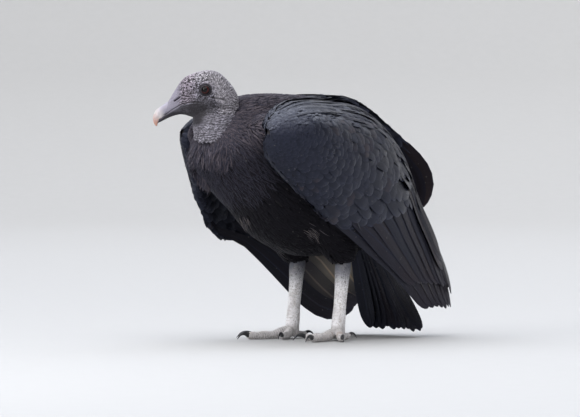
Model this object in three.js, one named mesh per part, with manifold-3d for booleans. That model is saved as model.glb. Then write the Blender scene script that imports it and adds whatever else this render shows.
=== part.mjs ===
// A life-size American black vulture, Coragyps atratus, standing still with its wings let down.
// It leans forward over both feet, its neck drawn in and its head turned to its right.
// Millimetres, +Z up. The bird faces -Y, its left side is +X, and the floor is z = 0.
import * as THREE from 'three';
import { mergeVertices } from 'three/addons/utils/BufferGeometryUtils.js';
import Module from 'manifold-3d';

const wasm = await Module();
wasm.setup();

const GAP = 0.3; // clearance between touching pieces

// ---------------------------------------------------------------- small helpers

const point = (x, y, z) => new THREE.Vector3(x, y, z);
const curve = (points) => new THREE.CatmullRomCurve3(points.map((p) => point(...p)), false, 'centripetal');

// A smooth function of t in 0..1 through evenly spaced values.
function profile(values) {
  const spline = new THREE.SplineCurve(values.map((v, i) => new THREE.Vector2(i, v)));
  return (t) => spline.getPoint(THREE.MathUtils.clamp(t, 0, 1)).y;
}

// An ellipse-like ring: half sizes across, above and below its centre; squareness 1 is an ellipse.
function ovalRing(centre, side, up, across, above, below, count, squareness = 1) {
  const ring = [];
  for (let k = 0; k < count; k++) {
    const angle = (2 * Math.PI * k) / count;
    const c = Math.cos(angle);
    const s = Math.sin(angle);
    const reach = s > 0 ? above : below;
    ring.push(
      centre
        .clone()
        .addScaledVector(side, across * Math.sign(c) * Math.abs(c) ** squareness)
        .addScaledVector(up, reach * Math.sign(s) * Math.abs(s) ** squareness),
    );
  }
  return ring;
}

// A solid from points and faces, turned inside out if its faces point inwards.
function closedSolid(points, faces) {
  const volume = faces.reduce((sum, [a, b, c]) => {
    const normal = new THREE.Vector3().crossVectors(points[b], points[c]);
    return sum + points[a].dot(normal);
  }, 0);
  if (volume < 0) faces.forEach((f) => f.reverse());
  return new wasm.Manifold(
    new wasm.Mesh({
      numProp: 3,
      vertProperties: new Float32Array(points.flatMap((p) => p.toArray())),
      triVerts: new Uint32Array(faces.flat()),
    }),
  );
}

// A closed solid through rings of equal point counts, with a fan on each end.
function loft(rings) {
  const count = rings[0].length;
  const centreOf = (ring) => ring.reduce((sum, p) => sum.add(p), point(0, 0, 0)).divideScalar(count);
  const points = [...rings.flat(), centreOf(rings[0]), centreOf(rings[rings.length - 1])];
  const first = rings.length * count;
  const faces = [];
  for (let i = 0; i + 1 < rings.length; i++) {
    for (let k = 0; k < count; k++) {
      const a = i * count + k;
      const b = i * count + ((k + 1) % count);
      faces.push([a, b, b + count], [a, b + count, a + count]);
    }
  }
  const last = (rings.length - 1) * count;
  for (let k = 0; k < count; k++) {
    const next = (k + 1) % count;
    faces.push([first, next, k], [first + 1, last + k, last + next]);
  }
  return closedSolid(points, faces);
}

// A closed solid between two grids of points that face each other, walled round its border.
function slab(outside, inside) {
  const rows = outside.length;
  const columns = outside[0].length;
  const size = rows * columns;
  const at = (i, k) => i * columns + k;
  const faces = [];
  for (let i = 0; i + 1 < rows; i++) {
    for (let k = 0; k + 1 < columns; k++) {
      const quad = [at(i, k), at(i + 1, k), at(i + 1, k + 1), at(i, k + 1)];
      faces.push([quad[0], quad[1], quad[2]], [quad[0], quad[2], quad[3]]);
      const [a, b, c, d] = quad.map((index) => index + size);
      faces.push([a, c, b], [a, d, c]);
    }
  }
  const wall = (a, b) => faces.push([a, b + size, b], [a, a + size, b + size]);
  for (let i = 0; i + 1 < rows; i++) {
    wall(at(i, 0), at(i + 1, 0));
    wall(at(i + 1, columns - 1), at(i, columns - 1));
  }
  for (let k = 0; k + 1 < columns; k++) {
    wall(at(0, k + 1), at(0, k));
    wall(at(rows - 1, k), at(rows - 1, k + 1));
  }
  return closedSolid([...outside.flat(), ...inside.flat()], faces);
}

// A three.js geometry as a solid, so that it can cut and be cut.
function solidOf(geometry) {
  const bare = geometry.clone();
  bare.deleteAttribute('normal');
  bare.deleteAttribute('uv');
  const merged = mergeVertices(bare, 1e-4);
  return new wasm.Manifold(
    new wasm.Mesh({
      numProp: 3,
      vertProperties: merged.attributes.position.array,
      triVerts: new Uint32Array(merged.index.array),
    }),
  );
}

const largest = (solid) => solid.decompose().sort((a, b) => b.volume() - a.volume())[0];
const moved = (solid, matrix) => solid.transform(Array.from(matrix.elements));

const box = (low, high) =>
  solidOf(
    new THREE.BoxGeometry(high[0] - low[0], high[1] - low[1], high[2] - low[2]).translate(
      (low[0] + high[0]) / 2,
      (low[1] + high[1]) / 2,
      (low[2] + high[2]) / 2,
    ),
  );
const evenly = (count) => Array.from({ length: count }, (_, i) => i / (count - 1));
const FAR = 900;
const belowFloor = box([-FAR, -FAR, -FAR], [FAR, FAR, 0]);

const MATERIALS = {
  plumage: [0x17161a, 0.62],
  flightFeather: [0x1b1d22, 0.5],
  bareSkin: [0x57545a, 0.75],
  horn: [0xcfc3b4, 0.45],
  eye: [0x1d0d0a, 0.08],
  legSkin: [0xa9a6a3, 0.7],
  claw: [0x1a1c20, 0.35],
};
const materials = Object.fromEntries(
  Object.entries(MATERIALS).map(([name, [color, roughness]]) => [
    name,
    new THREE.MeshStandardMaterial({ color, roughness, metalness: 0 }),
  ]),
);

const bird = new THREE.Group();

function addPart(name, solid, material, group = bird) {
  const mesh = largest(solid).getMesh();
  const geometry = new THREE.BufferGeometry();
  geometry.setAttribute('position', new THREE.BufferAttribute(new Float32Array(mesh.vertProperties), 3));
  geometry.setIndex(new THREE.BufferAttribute(new Uint32Array(mesh.triVerts), 1));
  geometry.computeVertexNormals();
  const part = new THREE.Mesh(geometry, materials[material]);
  part.name = name;
  group.add(part);
}

// ---------------------------------------------------------------- trunk

// The trunk is an egg pitched head-up. Its sections stand across the pitched axis.
const TRUNK_PITCH = THREE.MathUtils.degToRad(30);
const TRUNK_UP = point(0, Math.sin(TRUNK_PITCH), Math.cos(TRUNK_PITCH));
// Centre y and z, half width, height above and depth below, from breast to vent.
const TRUNK_SECTIONS = [
  [-178, 236, 12, 12, 8],
  [-172, 237, 32, 38, 22],
  [-156, 231, 50, 70, 36],
  [-128, 221, 61, 86, 50],
  [-88, 206, 69, 102, 64],
  [-44, 190, 73, 116, 83],
  [0, 172, 68, 106, 82],
  [34, 156, 57, 80, 66],
  [60, 142, 42, 50, 48],
  [80, 130, 27, 28, 30],
  [90, 124, 10, 10, 12],
];
const TRUNK_RINGS = 12;
const TRUNK_ROUND = 18;

function trunkSolid(grow = 0) {
  const centre = curve(TRUNK_SECTIONS.map(([y, z]) => [0, y, z]));
  const girth = curve(TRUNK_SECTIONS.map(([, , across, above, below]) => [across, above, below]));
  const rings = [];
  for (let i = 0; i <= TRUNK_RINGS; i++) {
    // Stations crowd towards both ends, where the egg rounds over.
    const t = 0.5 - 0.5 * Math.cos((Math.PI * i) / TRUNK_RINGS);
    const { x, y, z } = girth.getPoint(t).addScalar(grow);
    rings.push(ovalRing(centre.getPoint(t), point(1, 0, 0), TRUNK_UP, x, y, z, TRUNK_ROUND, 0.95));
  }
  return loft(rings);
}

// ---------------------------------------------------------------- neck and head

// The bare neck is drawn in: a short, loose column that leans to the turned head.
const NECK_SECTIONS = [
  [0, -142, 216, 20],
  [-1, -160, 236, 24.5],
  [-3, -161, 252, 26],
  [-5, -158, 268, 26.5],
  [-7, -152, 286, 23],
];

function neckSolid(grow = 0) {
  const centre = curve(NECK_SECTIONS.map(([x, y, z]) => [x, y, z]));
  const radius = profile(NECK_SECTIONS.map((s) => s[3]));
  const rings = [];
  for (let i = 0; i <= 6; i++) {
    const t = i / 6;
    const r = radius(t) + grow;
    rings.push(ovalRing(centre.getPoint(t), point(1, 0, 0), point(0, 1, 0), r, r, r, 16));
  }
  return loft(rings);
}

// The head is modelled facing -Y round the top of the neck, then turned and set in place.
const HEAD_TURN = THREE.MathUtils.degToRad(-43);
const HEAD_AT = [0, -152, 281];
// Forward distance, crown height, jaw height and half width, from the nape to the end of the jaws.
const HEAD_SECTIONS = [
  [-19, 8, -2, 5],
  [-15, 17, -13, 14],
  [-7, 28, -17, 21],
  [4, 38, -19, 24],
  [16, 41, -19, 24.5],
  [27, 39.5, -17, 22],
  [37, 36, -14, 17],
  [46, 31, -11.5, 12.5],
  [54, 20.5, -12, 9.5],
  [63, 5.5, -15, 7.8],
  [71, -3, -19, 6.6],
  [76, -10, -21.5, 4],
];
const HEAD_ROUND = 16;
// The mouth line, as forward distance and height, from the gape to the bill's tip.
const MOUTH_LINE = [
  [26, 2.5],
  [36, 3.4],
  [47, 1.6],
  [58, -5],
  [69, -12.5],
  [77, -20],
];
const MOUTH_GAP = 0.5;
// The pale horn hook: spine points and radius in height, from its base under the cere to its tip.
const HOOK_SECTIONS = [
  [61, -2, 7.5, 7],
  [68, -7, 7, 6.6],
  [73.5, -10.8, 6.8, 5.8],
  [77.4, -15.6, 4.8, 4],
  [78.5, -20.6, 2.8, 2.4],
  [77.7, -24.8, 0.8, 0.8],
];
const CERE_END = 69; // forward distance at which skin gives way to horn
const EYE_AT = [19.6, 17.2]; // forward distance and height
const EYE_RADIUS = 6.6;
const EYE_ASIDE = 18.4; // from the head's middle to the eye's centre
const NOSTRIL = { from: [50, 9.2], to: [57.5, 4], width: 2.4 };

// A slab across the head whose side outline is given as [forward, height] points.
function headSlab(outline, halfWidth) {
  const shape = new THREE.Shape(outline.map(([f, h]) => new THREE.Vector2(f, h)));
  const plate = new THREE.ExtrudeGeometry(shape, { depth: 2 * halfWidth, bevelEnabled: false, steps: 1 });
  // The outline's own axes become forward (-Y) and up (Z).
  const basis = new THREE.Matrix4().makeBasis(point(0, -1, 0), point(0, 0, 1), point(-1, 0, 0));
  return solidOf(plate.applyMatrix4(basis).translate(halfWidth, 0, 0));
}

function skullSolid(grow = 0) {
  const rings = HEAD_SECTIONS.map(([forward, crown, jaw, across]) => {
    const middle = (crown + jaw) / 2;
    const half = (crown - jaw) / 2 + grow;
    return ovalRing(
      point(0, -forward, middle), point(1, 0, 0), point(0, 0, 1), across + grow, half, half, HEAD_ROUND, 0.88,
    );
  });
  return loft(rings);
}

function hookSolid() {
  const spine = curve(HOOK_SECTIONS.map(([f, h]) => [0, -f, h]));
  const high = profile(HOOK_SECTIONS.map((s) => s[2]));
  const wide = profile(HOOK_SECTIONS.map((s) => s[3]));
  const rings = [];
  for (let i = 0; i <= 7; i++) {
    const t = i / 7;
    const along = spine.getTangent(t);
    const up = new THREE.Vector3().crossVectors(point(1, 0, 0), along).normalize();
    rings.push(ovalRing(spine.getPoint(t), point(1, 0, 0), up, wide(t), high(t), high(t), 12));
  }
  return loft(rings);
}

function buildHead() {
  const group = new THREE.Group();
  group.position.set(...HEAD_AT);
  group.rotation.z = HEAD_TURN;
  group.updateMatrix();

  const lowerOutline = (drop) => [
    ...MOUTH_LINE.map(([f, h]) => [f, h - drop]),
    [92, -24],
    [92, -60],
    [MOUTH_LINE[0][0], -60],
  ];
  const skull = skullSolid();
  const eyeball = (side, radius) =>
    solidOf(new THREE.SphereGeometry(radius, 12, 8).translate(side * EYE_ASIDE, -EYE_AT[0], EYE_AT[1]));
  const eyes = [1, -1].map((side) => eyeball(side, EYE_RADIUS));
  const sockets = [1, -1].map((side) => eyeball(side, EYE_RADIUS + GAP));
  const behindCere = headSlab([[-40, 60], [CERE_END, 60], [CERE_END, -60], [-40, -60]], 60);
  const lowerJaw = skull.intersect(headSlab(lowerOutline(MOUTH_GAP), 60));
  const jawRoom = headSlab(lowerOutline(0), 60);

  // The nostril is a slit right through the bill, as in all New World vultures.
  const [nearF, nearH] = NOSTRIL.from;
  const [farF, farH] = NOSTRIL.to;
  const nostril = headSlab(
    [
      [nearF, nearH + NOSTRIL.width / 2],
      [nearF - 1, nearH],
      [nearF, nearH - NOSTRIL.width / 2],
      [farF, farH - NOSTRIL.width / 2],
      [farF + 1, farH],
      [farF, farH + NOSTRIL.width / 2],
    ],
    30,
  );

  const upperHead = skull.subtract(jawRoom).intersect(behindCere);
  const head = sockets.reduce((rest, socket) => rest.subtract(socket), upperHead).subtract(nostril);
  const pastCere = headSlab([[CERE_END + GAP, 60], [110, 60], [110, -60], [CERE_END + GAP, -60]], 60);
  const jawInHook = jawRoom.intersect(skullSolid(GAP));
  const hook = hookSolid().intersect(pastCere).subtract(jawInHook);

  addPart('head', head, 'bareSkin', group);
  addPart('bill_upper', hook, 'horn', group);
  addPart('bill_lower', lowerJaw, 'bareSkin', group);
  ['left', 'right'].forEach((side, i) => addPart(`eye_${side}`, eyes[i], 'eye', group));
  bird.add(group);
  return moved(skullSolid(GAP), group.matrix);
}

// ---------------------------------------------------------------- wings

// A let-down wing is a curved sheet between its lower, leading edge and its upper, trailing edge.
// t runs from the wrist (0) to the wing tip (1), and s from the lower edge (0) to the upper one (1).
// armEnd is the t at which the greater coverts end, at the lower and at the upper edge.
const WINGS = {
  left: {
    side: 1,
    lower: [
      [83, -164, 244], [89, -156, 222], [91, -124, 188], [90, -82, 155], [86, -34, 130],
      [80, 12, 108], [72, 60, 86], [64, 104, 57], [61, 122, 40], [60, 135, 28],
    ],
    upper: [
      [81, -163, 250], [70, -144, 268], [54, -103, 283], [40, -36, 285], [30, 24, 281], [28, 70, 262],
      [30, 106, 226], [33, 127, 176], [37, 153, 130], [46, 172, 80], [55, 177, 34],
    ],
    armEnd: [0.42, 0.75],
    tertialTip: [[0.88, 0.7], [0.84, 0.93]],
  },
  right: {
    side: -1,
    lower: [
      [-85, -144, 242], [-95, -123, 200], [-101, -100, 160], [-105, -70, 127], [-106, -24, 110],
      [-104, 23, 76], [-100, 66, 42], [-94, 102, 26], [-84, 153, 35],
    ],
    upper: [
      [-80, -140, 252], [-68, -122, 270], [-44, -60, 285], [-24, 20, 291], [-18, 78, 285],
      [-12, 128, 253], [-5, 167, 224], [0, 186, 190], [-12, 180, 150], [-40, 172, 100], [-74, 160, 46],
    ],
    armEnd: [0.42, 0.61],
    tertialTip: [[0.75, 0.7], [0.78, 1]],
  },
};
const WING_SAG = profile([6, 34, 38, 32, 22, 12, 5]); // how far the sheet bows out over the flank
const ARM_OUT = profile([4, 9, 10, 9, 7.5, 6, 5]); // thickness outside the sheet, over the coverts
const ARM_IN = profile([5, 24, 28, 22, 13, 5.5, 2.2]); // thickness inside it, where the arm lies
const ARM_RINGS = 10;
const ARM_ACROSS = 7;

function wingSheet({ side, lower, upper }) {
  const low = curve(lower);
  const high = curve(upper);
  return (t, s, lift = 0) => {
    const at = THREE.MathUtils.clamp(t, 0, 1);
    const base = low.getPointAt(at);
    const chord = high.getPointAt(at).sub(base);
    const along = low.getTangentAt(at).lerp(high.getTangentAt(at), 0.5).normalize();
    const outward = new THREE.Vector3().crossVectors(chord, along).normalize();
    if (outward.x * side < 0) outward.negate();
    const arch = 4 * s * (1 - s) * WING_SAG(at);
    return base.addScaledVector(chord, s).addScaledVector(outward, arch + lift);
  };
}

function armSolid(sheet, [lowEnd, highEnd], grow = 0) {
  const across = evenly(ARM_ACROSS + 1);
  const surface = (thickness) =>
    evenly(ARM_RINGS + 1).map((share) =>
      across.map((s) => {
        const round = 0.82 * Math.sin(Math.PI * s) ** 0.5 + 0.25;
        const reach = THREE.MathUtils.lerp(lowEnd, highEnd, s) + grow / 400;
        return sheet(reach * share, s, thickness(share) * round);
      }),
    );
  return slab(surface((a) => ARM_OUT(a) + grow), surface((a) => -ARM_IN(a) - 2 * grow));
}

// A fan of overlapping flight feathers as one sheet, stepped where one lies over the next.
// Its root and tip are given as [t, s] at the lowest and at the uppermost feather.
const VANE = 1; // thickness of the sheet
const VANE_STEP = 1.1; // how far each feather stands out over the edge of the one below it
const VANE_ACROSS = [0, 0.28, 0.72, 1]; // columns of points across one feather
const VANE_ALONG = [0, 0.4, 0.75, 0.94, 1]; // rows of points from root to tip
const VANE_NOTCH = 0.05; // how far the corners of each tip are cut back

function featherFan(sheet, { count, root, tip, lift }, grow = 0) {
  const columns = evenly(count).flatMap((_, i) => VANE_ACROSS.map((c) => [(i + c) / count, c]));
  const surface = (height) =>
    VANE_ALONG.map((a) =>
      columns.map(([f, c]) => {
        const notch = c === 0 || c === 1 ? VANE_NOTCH : 0;
        const mix = (row, key) => THREE.MathUtils.lerp(row[0][key], row[1][key], f);
        const t = THREE.MathUtils.lerp(mix(root, 0), mix(tip, 0) - notch + grow / 200, a);
        const s = THREE.MathUtils.lerp(mix(root, 1), mix(tip, 1), a);
        return sheet(t, s, THREE.MathUtils.lerp(lift[0], lift[1], a) + height(c));
      }),
    );
  return slab(surface((c) => VANE / 2 + VANE_STEP * (1 - c) + grow), surface(() => -VANE / 2 - grow));
}

const TERTIALS = { count: 2, root: [[0.44, 0.56], [0.5, 0.98]], lift: [3, 3.8] };
const FANS = {
  secondaries: {
    count: 5,
    root: [[0.28, 0.06], [0.5, 0.92]],
    tip: [[0.86, 0.02], [0.965, 0.98]],
    lift: [0, 0.5],
  },
  primaries: {
    count: 4,
    root: [[0.26, 0], [0.4, 0.3]],
    tip: [[0.97, 0], [1, 1]],
    lift: [-2.6, -3.4],
  },
};

function buildWing(name, room) {
  const sheet = wingSheet(WINGS[name]);
  const { armEnd, tertialTip } = WINGS[name];
  addPart(`wing_${name}`, armSolid(sheet, armEnd).subtract(room), 'plumage');
  let taken = room.add(armSolid(sheet, armEnd, GAP));
  Object.entries({ tertials: { ...TERTIALS, tip: tertialTip }, ...FANS }).forEach(([part, fan]) => {
    addPart(`${part}_${name}`, featherFan(sheet, fan).subtract(taken), 'flightFeather');
    taken = taken.add(featherFan(sheet, fan, GAP));
  });
  return taken;
}

// ---------------------------------------------------------------- tail

const TAIL_ROOT = [0, 62, 152];
const TAIL_TIP = [0, 143, 6];
const TAIL_HALF_WIDTH = 52; // at the tip
const TAIL_ROOT_HALF_WIDTH = 10;
const RECTRICES = 8;
const TAIL_NOTCH = 0.04; // how far the corners of each tip are cut back
const TAIL_ROOF = 9; // how far the outermost feathers lie below the middle ones

function tailSolid(grow = 0) {
  const root = point(...TAIL_ROOT);
  const axis = point(...TAIL_TIP).sub(root);
  const outward = new THREE.Vector3().crossVectors(point(1, 0, 0), axis).normalize();
  const columns = evenly(RECTRICES).flatMap((_, i) =>
    VANE_ACROSS.map((c) => [(2 * (i + c)) / RECTRICES - 1, c]),
  );
  const surface = (height) =>
    VANE_ALONG.map((a) =>
      columns.map(([f, c]) => {
        const notch = c === 0 || c === 1 ? TAIL_NOTCH : 0;
        const width = THREE.MathUtils.lerp(TAIL_ROOT_HALF_WIDTH, TAIL_HALF_WIDTH, a);
        const drop = TAIL_ROOF * f * f * a; // the outer feathers lie under the middle ones
        return root
          .clone()
          .addScaledVector(axis, a * (1 - notch))
          .add(point(width * f, 0, 0))
          .addScaledVector(outward, height(f < 0 ? 1 - c : c) - drop);
      }),
    );
  return slab(surface((c) => VANE / 2 + VANE_STEP * (1 - c) + grow), surface(() => -VANE / 2 - grow));
}

// ---------------------------------------------------------------- legs and feet

const HIP = [44, -18, 150];
const KNEE_END = [40, 6, 88]; // where the leg feathers stop, just over the ankle
const ANKLE = [40, 7, 96];
const FOOT = [40, -2, 15];
// Half widths in x and y, from hip to ankle.
const THIGH_SIZES = [[26, 42], [27, 40], [24, 33], [18, 24], [12, 14]];
const TARSUS_RADII = [9.6, 9.8, 8.8, 8.2, 7.9, 7.8, 8.4, 8.6]; // ankle to foot
const SOLE = [[8, 8], [-3, 5.6]]; // height and radius of the pad under the foot
const TOES = [
  { name: 'inner', spread: -34, length: 46, radius: 5 },
  { name: 'middle', spread: 0, length: 70, radius: 5.4 },
  { name: 'outer', spread: 32, length: 52, radius: 4.9 },
  { name: 'hind', spread: 172, length: 24, radius: 4.2 },
];
const FOOT_TURN = { left: 20, right: 3 }; // degrees that the foot is turned out
const CLAW_LENGTH = 16;

function thighSolid(side, grow = 0) {
  const rings = THIGH_SIZES.map(([wide, deep], i) => {
    const t = i / (THIGH_SIZES.length - 1);
    const centre = point(...HIP).lerp(point(...KNEE_END), t);
    centre.x *= side;
    return ovalRing(centre, point(1, 0, 0), point(0, 1, 0), wide + grow, deep + grow, deep + grow, 14);
  });
  return loft(rings);
}

function tarsusSolid(side, grow = 0) {
  const radius = profile(TARSUS_RADII);
  const rings = [];
  const addRing = (centre, r) =>
    rings.push(ovalRing(centre, point(1, 0, 0), point(0, 1, 0), 0.92 * r + grow, r + grow, r + grow, 12));
  for (let i = 0; i <= 6; i++) {
    const centre = point(...ANKLE).lerp(point(...FOOT), i / 6);
    centre.x *= side;
    addRing(centre, radius(i / 6));
  }
  // The foot's sole rounds down to its pad on the floor.
  SOLE.forEach(([z, r]) => addRing(point(side * FOOT[0], FOOT[1], z), r));
  return loft(rings);
}

// A toe runs out of the foot and lies on the floor, with a pad under each joint.
const TOE_HEIGHTS = profile([14, 10, 5.6, 4.6, 4.4, 5]);
function toeSolid(foot, way, { length, radius }) {
  const side = new THREE.Vector3().crossVectors(way, point(0, 0, 1));
  const rings = [];
  const steps = 6;
  for (let i = 0; i <= steps; i++) {
    const a = i / steps;
    const pad = 1 + 0.1 * Math.cos(2 * Math.PI * 3 * a);
    const end = i === steps ? 0.62 : 1;
    const r = radius * (1 - 0.16 * a) * pad * end;
    const centre = foot.clone().addScaledVector(way, length * a);
    centre.z = TOE_HEIGHTS(a);
    rings.push(ovalRing(centre, side, point(0, 0, 1), 0.92 * r, r, r * 1.08, 8));
  }
  return loft(rings);
}

// A claw leaves the toe's end, rises a little and hooks down.
function clawSolid(foot, way, { length, radius }) {
  const side = new THREE.Vector3().crossVectors(way, point(0, 0, 1));
  const start = length + GAP;
  const end = start + CLAW_LENGTH;
  const spine = curve([[start, 0, 5], [start + 5, 0, 7.4], [start + 11, 0, 6.2], [end, 0, 1.4]]);
  const rings = [];
  for (let i = 0; i <= 4; i++) {
    const t = i / 4;
    const on = spine.getPoint(t);
    const tangent = spine.getTangent(t);
    const along = i === 0 ? way : way.clone().multiplyScalar(tangent.x).add(point(0, 0, tangent.z));
    const up = new THREE.Vector3().crossVectors(side, along).normalize();
    const centre = foot.clone().addScaledVector(way, on.x);
    centre.z = on.z;
    const r = radius * 0.66 * (1 - 0.86 * t);
    rings.push(ovalRing(centre, side, up, 0.75 * r, r, r, 6));
  }
  return loft(rings);
}

function buildLeg(name, room) {
  const side = name === 'left' ? 1 : -1;
  let taken = tarsusSolid(side, GAP);
  addPart(`thigh_${name}`, thighSolid(side).subtract(room).subtract(taken), 'plumage');
  addPart(`tarsus_${name}`, tarsusSolid(side).subtract(belowFloor), 'legSkin');

  const foot = point(side * FOOT[0], FOOT[1], 0);
  TOES.forEach((toe) => {
    const heading = THREE.MathUtils.degToRad(toe.spread + FOOT_TURN[name]);
    const way = point(side * Math.sin(heading), -Math.cos(heading), 0);
    const grown = { ...toe, radius: toe.radius + GAP, length: toe.length + GAP };
    const solid = toeSolid(foot, way, toe).subtract(taken).subtract(belowFloor);
    addPart(`toe_${toe.name}_${name}`, solid, 'legSkin');
    taken = taken.add(toeSolid(foot, way, grown));
    addPart(`claw_${toe.name}_${name}`, clawSolid(foot, way, toe), 'claw');
  });
}

// ---------------------------------------------------------------- assembly

const headRoom = buildHead();
addPart('neck', neckSolid().subtract(headRoom), 'bareSkin');
addPart('trunk', trunkSolid().subtract(neckSolid(GAP)).subtract(headRoom), 'plumage');
let room = trunkSolid(GAP);
addPart('tail', tailSolid().subtract(room), 'flightFeather');
room = room.add(tailSolid(GAP));
room = buildWing('left', room);
room = buildWing('right', room);
buildLeg('left', room);
buildLeg('right', room);

// The origin is the middle of the whole bird's footprint, on the floor.
const bounds = new THREE.Box3().setFromObject(bird, true);
bird.position.set(-(bounds.min.x + bounds.max.x) / 2, -(bounds.min.y + bounds.max.y) / 2, -bounds.min.z);

export default bird;
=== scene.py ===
# %% [markdown]
# # A life-size black vulture, dressed feather by feather
# The packed solids give the bird's true outline. Here they are dressed as a museum would show the
# bird: bare wrinkled head and legs, and a coat of real vanes laid over one skin. We start by loading
# the solids as a fixed frame.

# %% Load the frame
import itertools
import math

import bmesh
import bpy
import numpy as np
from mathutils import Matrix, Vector, noise
from mathutils.bvhtree import BVHTree


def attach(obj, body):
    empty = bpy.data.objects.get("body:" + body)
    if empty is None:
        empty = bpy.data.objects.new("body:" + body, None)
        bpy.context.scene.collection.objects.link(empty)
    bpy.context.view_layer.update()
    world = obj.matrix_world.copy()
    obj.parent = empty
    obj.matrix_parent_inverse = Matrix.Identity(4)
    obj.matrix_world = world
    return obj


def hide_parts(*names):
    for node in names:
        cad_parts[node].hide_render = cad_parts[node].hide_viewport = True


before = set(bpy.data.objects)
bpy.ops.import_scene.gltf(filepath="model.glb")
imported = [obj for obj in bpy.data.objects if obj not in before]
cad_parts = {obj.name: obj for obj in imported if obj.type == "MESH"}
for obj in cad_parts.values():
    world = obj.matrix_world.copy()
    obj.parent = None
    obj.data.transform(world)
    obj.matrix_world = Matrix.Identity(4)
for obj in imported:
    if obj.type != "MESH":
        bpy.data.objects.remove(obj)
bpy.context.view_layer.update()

# %% [markdown]
# ## Camera
# A long lens a few metres away keeps the bird's proportions almost parallel, as a birdwatcher's
# telephoto does. It looks at the bird's left front, nearly level, from the height of its back.

# %% Camera
VIEW_AZIMUTH = math.radians(47)
VIEW_ELEVATION = math.radians(1)
CAMERA_DISTANCE = 6.0
SENSOR_WIDTH = 36
FIELD_WIDTH = 0.696  # what the frame spans at the bird, in metres
AIM_ASIDE, AIM_HEIGHT = -0.0316, 0.157  # the middle of the view, from below the hips, in metres
SHIFT = np.array((1.482, 12.261, 0.0))  # from the bird's own hip-centred frame to the packed one, mm
UP = Vector((0, 0, 1))

picture_right = Vector((math.cos(VIEW_AZIMUTH), math.sin(VIEW_AZIMUTH), 0))
level = math.cos(VIEW_ELEVATION)
towards_camera = Vector(
    (math.sin(VIEW_AZIMUTH) * level, -math.cos(VIEW_AZIMUTH) * level, math.sin(VIEW_ELEVATION))
)
aim = Vector(SHIFT) * 0.001 + picture_right * AIM_ASIDE + UP * AIM_HEIGHT


def look_along(thing, way):
    """Turns a camera or light so that it looks along a way."""
    thing.rotation_mode = "QUATERNION"
    thing.rotation_quaternion = way.to_track_quat("-Z", "Y")


camera_data = bpy.data.cameras.new("camera")
camera_data.sensor_width = SENSOR_WIDTH
camera_data.lens = SENSOR_WIDTH * CAMERA_DISTANCE / FIELD_WIDTH
camera_data.clip_end = 60
camera = bpy.data.objects.new("camera", camera_data)
camera.location = aim + towards_camera * CAMERA_DISTANCE
look_along(camera, -towards_camera)
bpy.context.scene.collection.objects.link(camera)
bpy.context.scene.camera = camera
print("lens", round(camera_data.lens), "mm")

# %% [markdown]
# ## Units and directions
# The bird is described in millimetres about its hips. Two helpers turn such numbers into metres in
# the packed frame, and give any row of vectors the length one.

# %% Units and directions
RNG = np.random.default_rng(7)
ACROSS_WAY, UP_WAY = np.array((1.0, 0, 0)), np.array((0, 0, 1.0))


def metres(points):
    """Bird millimetres to metres in the packed frame."""
    return (np.asarray(points, float) + SHIFT) * 0.001


def unit(vectors):
    """Vectors at length one, along the last axis."""
    return vectors / np.maximum(np.linalg.norm(vectors, axis=-1, keepdims=True), 1e-12)


print("the hips stand over", metres((0, 0, 0)).round(4).tolist())

# %% [markdown]
# ## Smooth curves
# Wings, skull and claws all follow a few measured points. One could draw Bezier curves in the
# editor, but here the points stay plain numbers: a centripetal spline runs through them without
# loops or overshoot, and is then cut into even steps.

# %% Smooth curves
def hermite(a, b, slope_a, slope_b, w):
    """A cubic from a to b with the given end slopes."""
    w2, w3 = w * w, w * w * w
    from_a = (2 * w3 - 3 * w2 + 1) * a + (w3 - 2 * w2 + w) * slope_a
    return from_a + (3 * w2 - 2 * w3) * b + (w3 - w2) * slope_b


def even_curve(points, samples=240):
    """Evenly spaced points along a smooth curve through the given ones."""
    p = np.asarray(points, float)
    ends = np.vstack([2 * p[0] - p[1], p, 2 * p[-1] - p[-2]])
    steps = np.linspace(0, 1, 32, endpoint=False)[:, None]
    fine = []
    for a, b, c, d in zip(ends, ends[1:], ends[2:], ends[3:]):
        k0, k1, k2 = (np.linalg.norm(q - r) ** 0.5 for q, r in ((b, a), (c, b), (d, c)))
        slope_b = ((b - a) / k0 - (c - a) / (k0 + k1) + (c - b) / k1) * k1
        slope_c = ((c - b) / k1 - (d - b) / (k1 + k2) + (d - c) / k2) * k1
        fine.append(hermite(b, c, slope_b, slope_c, steps))
    fine = np.vstack([*fine, p[-1:]])
    length = np.concatenate([[0], np.cumsum(np.linalg.norm(np.diff(fine, axis=0), axis=1))])
    at = np.linspace(0, length[-1], samples)
    return np.column_stack([np.interp(at, length, fine[:, k]) for k in range(p.shape[1])])


def sampled(table, t):
    """Rows of an even table at t in 0..1, carried straight on past both ends."""
    x = np.asarray(t, float) * (len(table) - 1)
    i = np.clip(np.floor(x).astype(int), 0, len(table) - 2)
    w = (x - i)[..., None]
    return table[i] * (1 - w) + table[i + 1] * w


def profile(values):
    """A smooth function of t in 0..1 through evenly spaced values."""
    v = np.asarray(values, float)
    last = len(v) - 1

    def at(t):
        x = np.clip(np.asarray(t, float), 0, 1) * last
        i = np.minimum(x.astype(int), last - 1)
        before, after = v[np.maximum(i - 1, 0)], v[np.minimum(i + 2, last)]
        a, b = v[i], v[i + 1]
        return hermite(a, b, (b - before) / 2, (after - a) / 2, x - i)

    return at


print("a test profile at its middle:", float(profile([0, 1, 4])(0.5)))

# %% [markdown]
# ## Soft steps and noise
# Most masks on the bird are soft steps between two measures, and most irregularity is smooth noise
# of a known grain, so both get a short name.

# %% Soft steps and noise
def smoothstep(low, high, x):
    """0 below low, 1 above high, and a soft step between."""
    w = np.clip((np.asarray(x, float) - low) / (high - low), 0, 1)
    return w * w * (3 - 2 * w)


def bell(x, width):
    """1 where x is 0, falling off softly on both sides."""
    return np.exp(-((x / width) ** 2))


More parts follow.
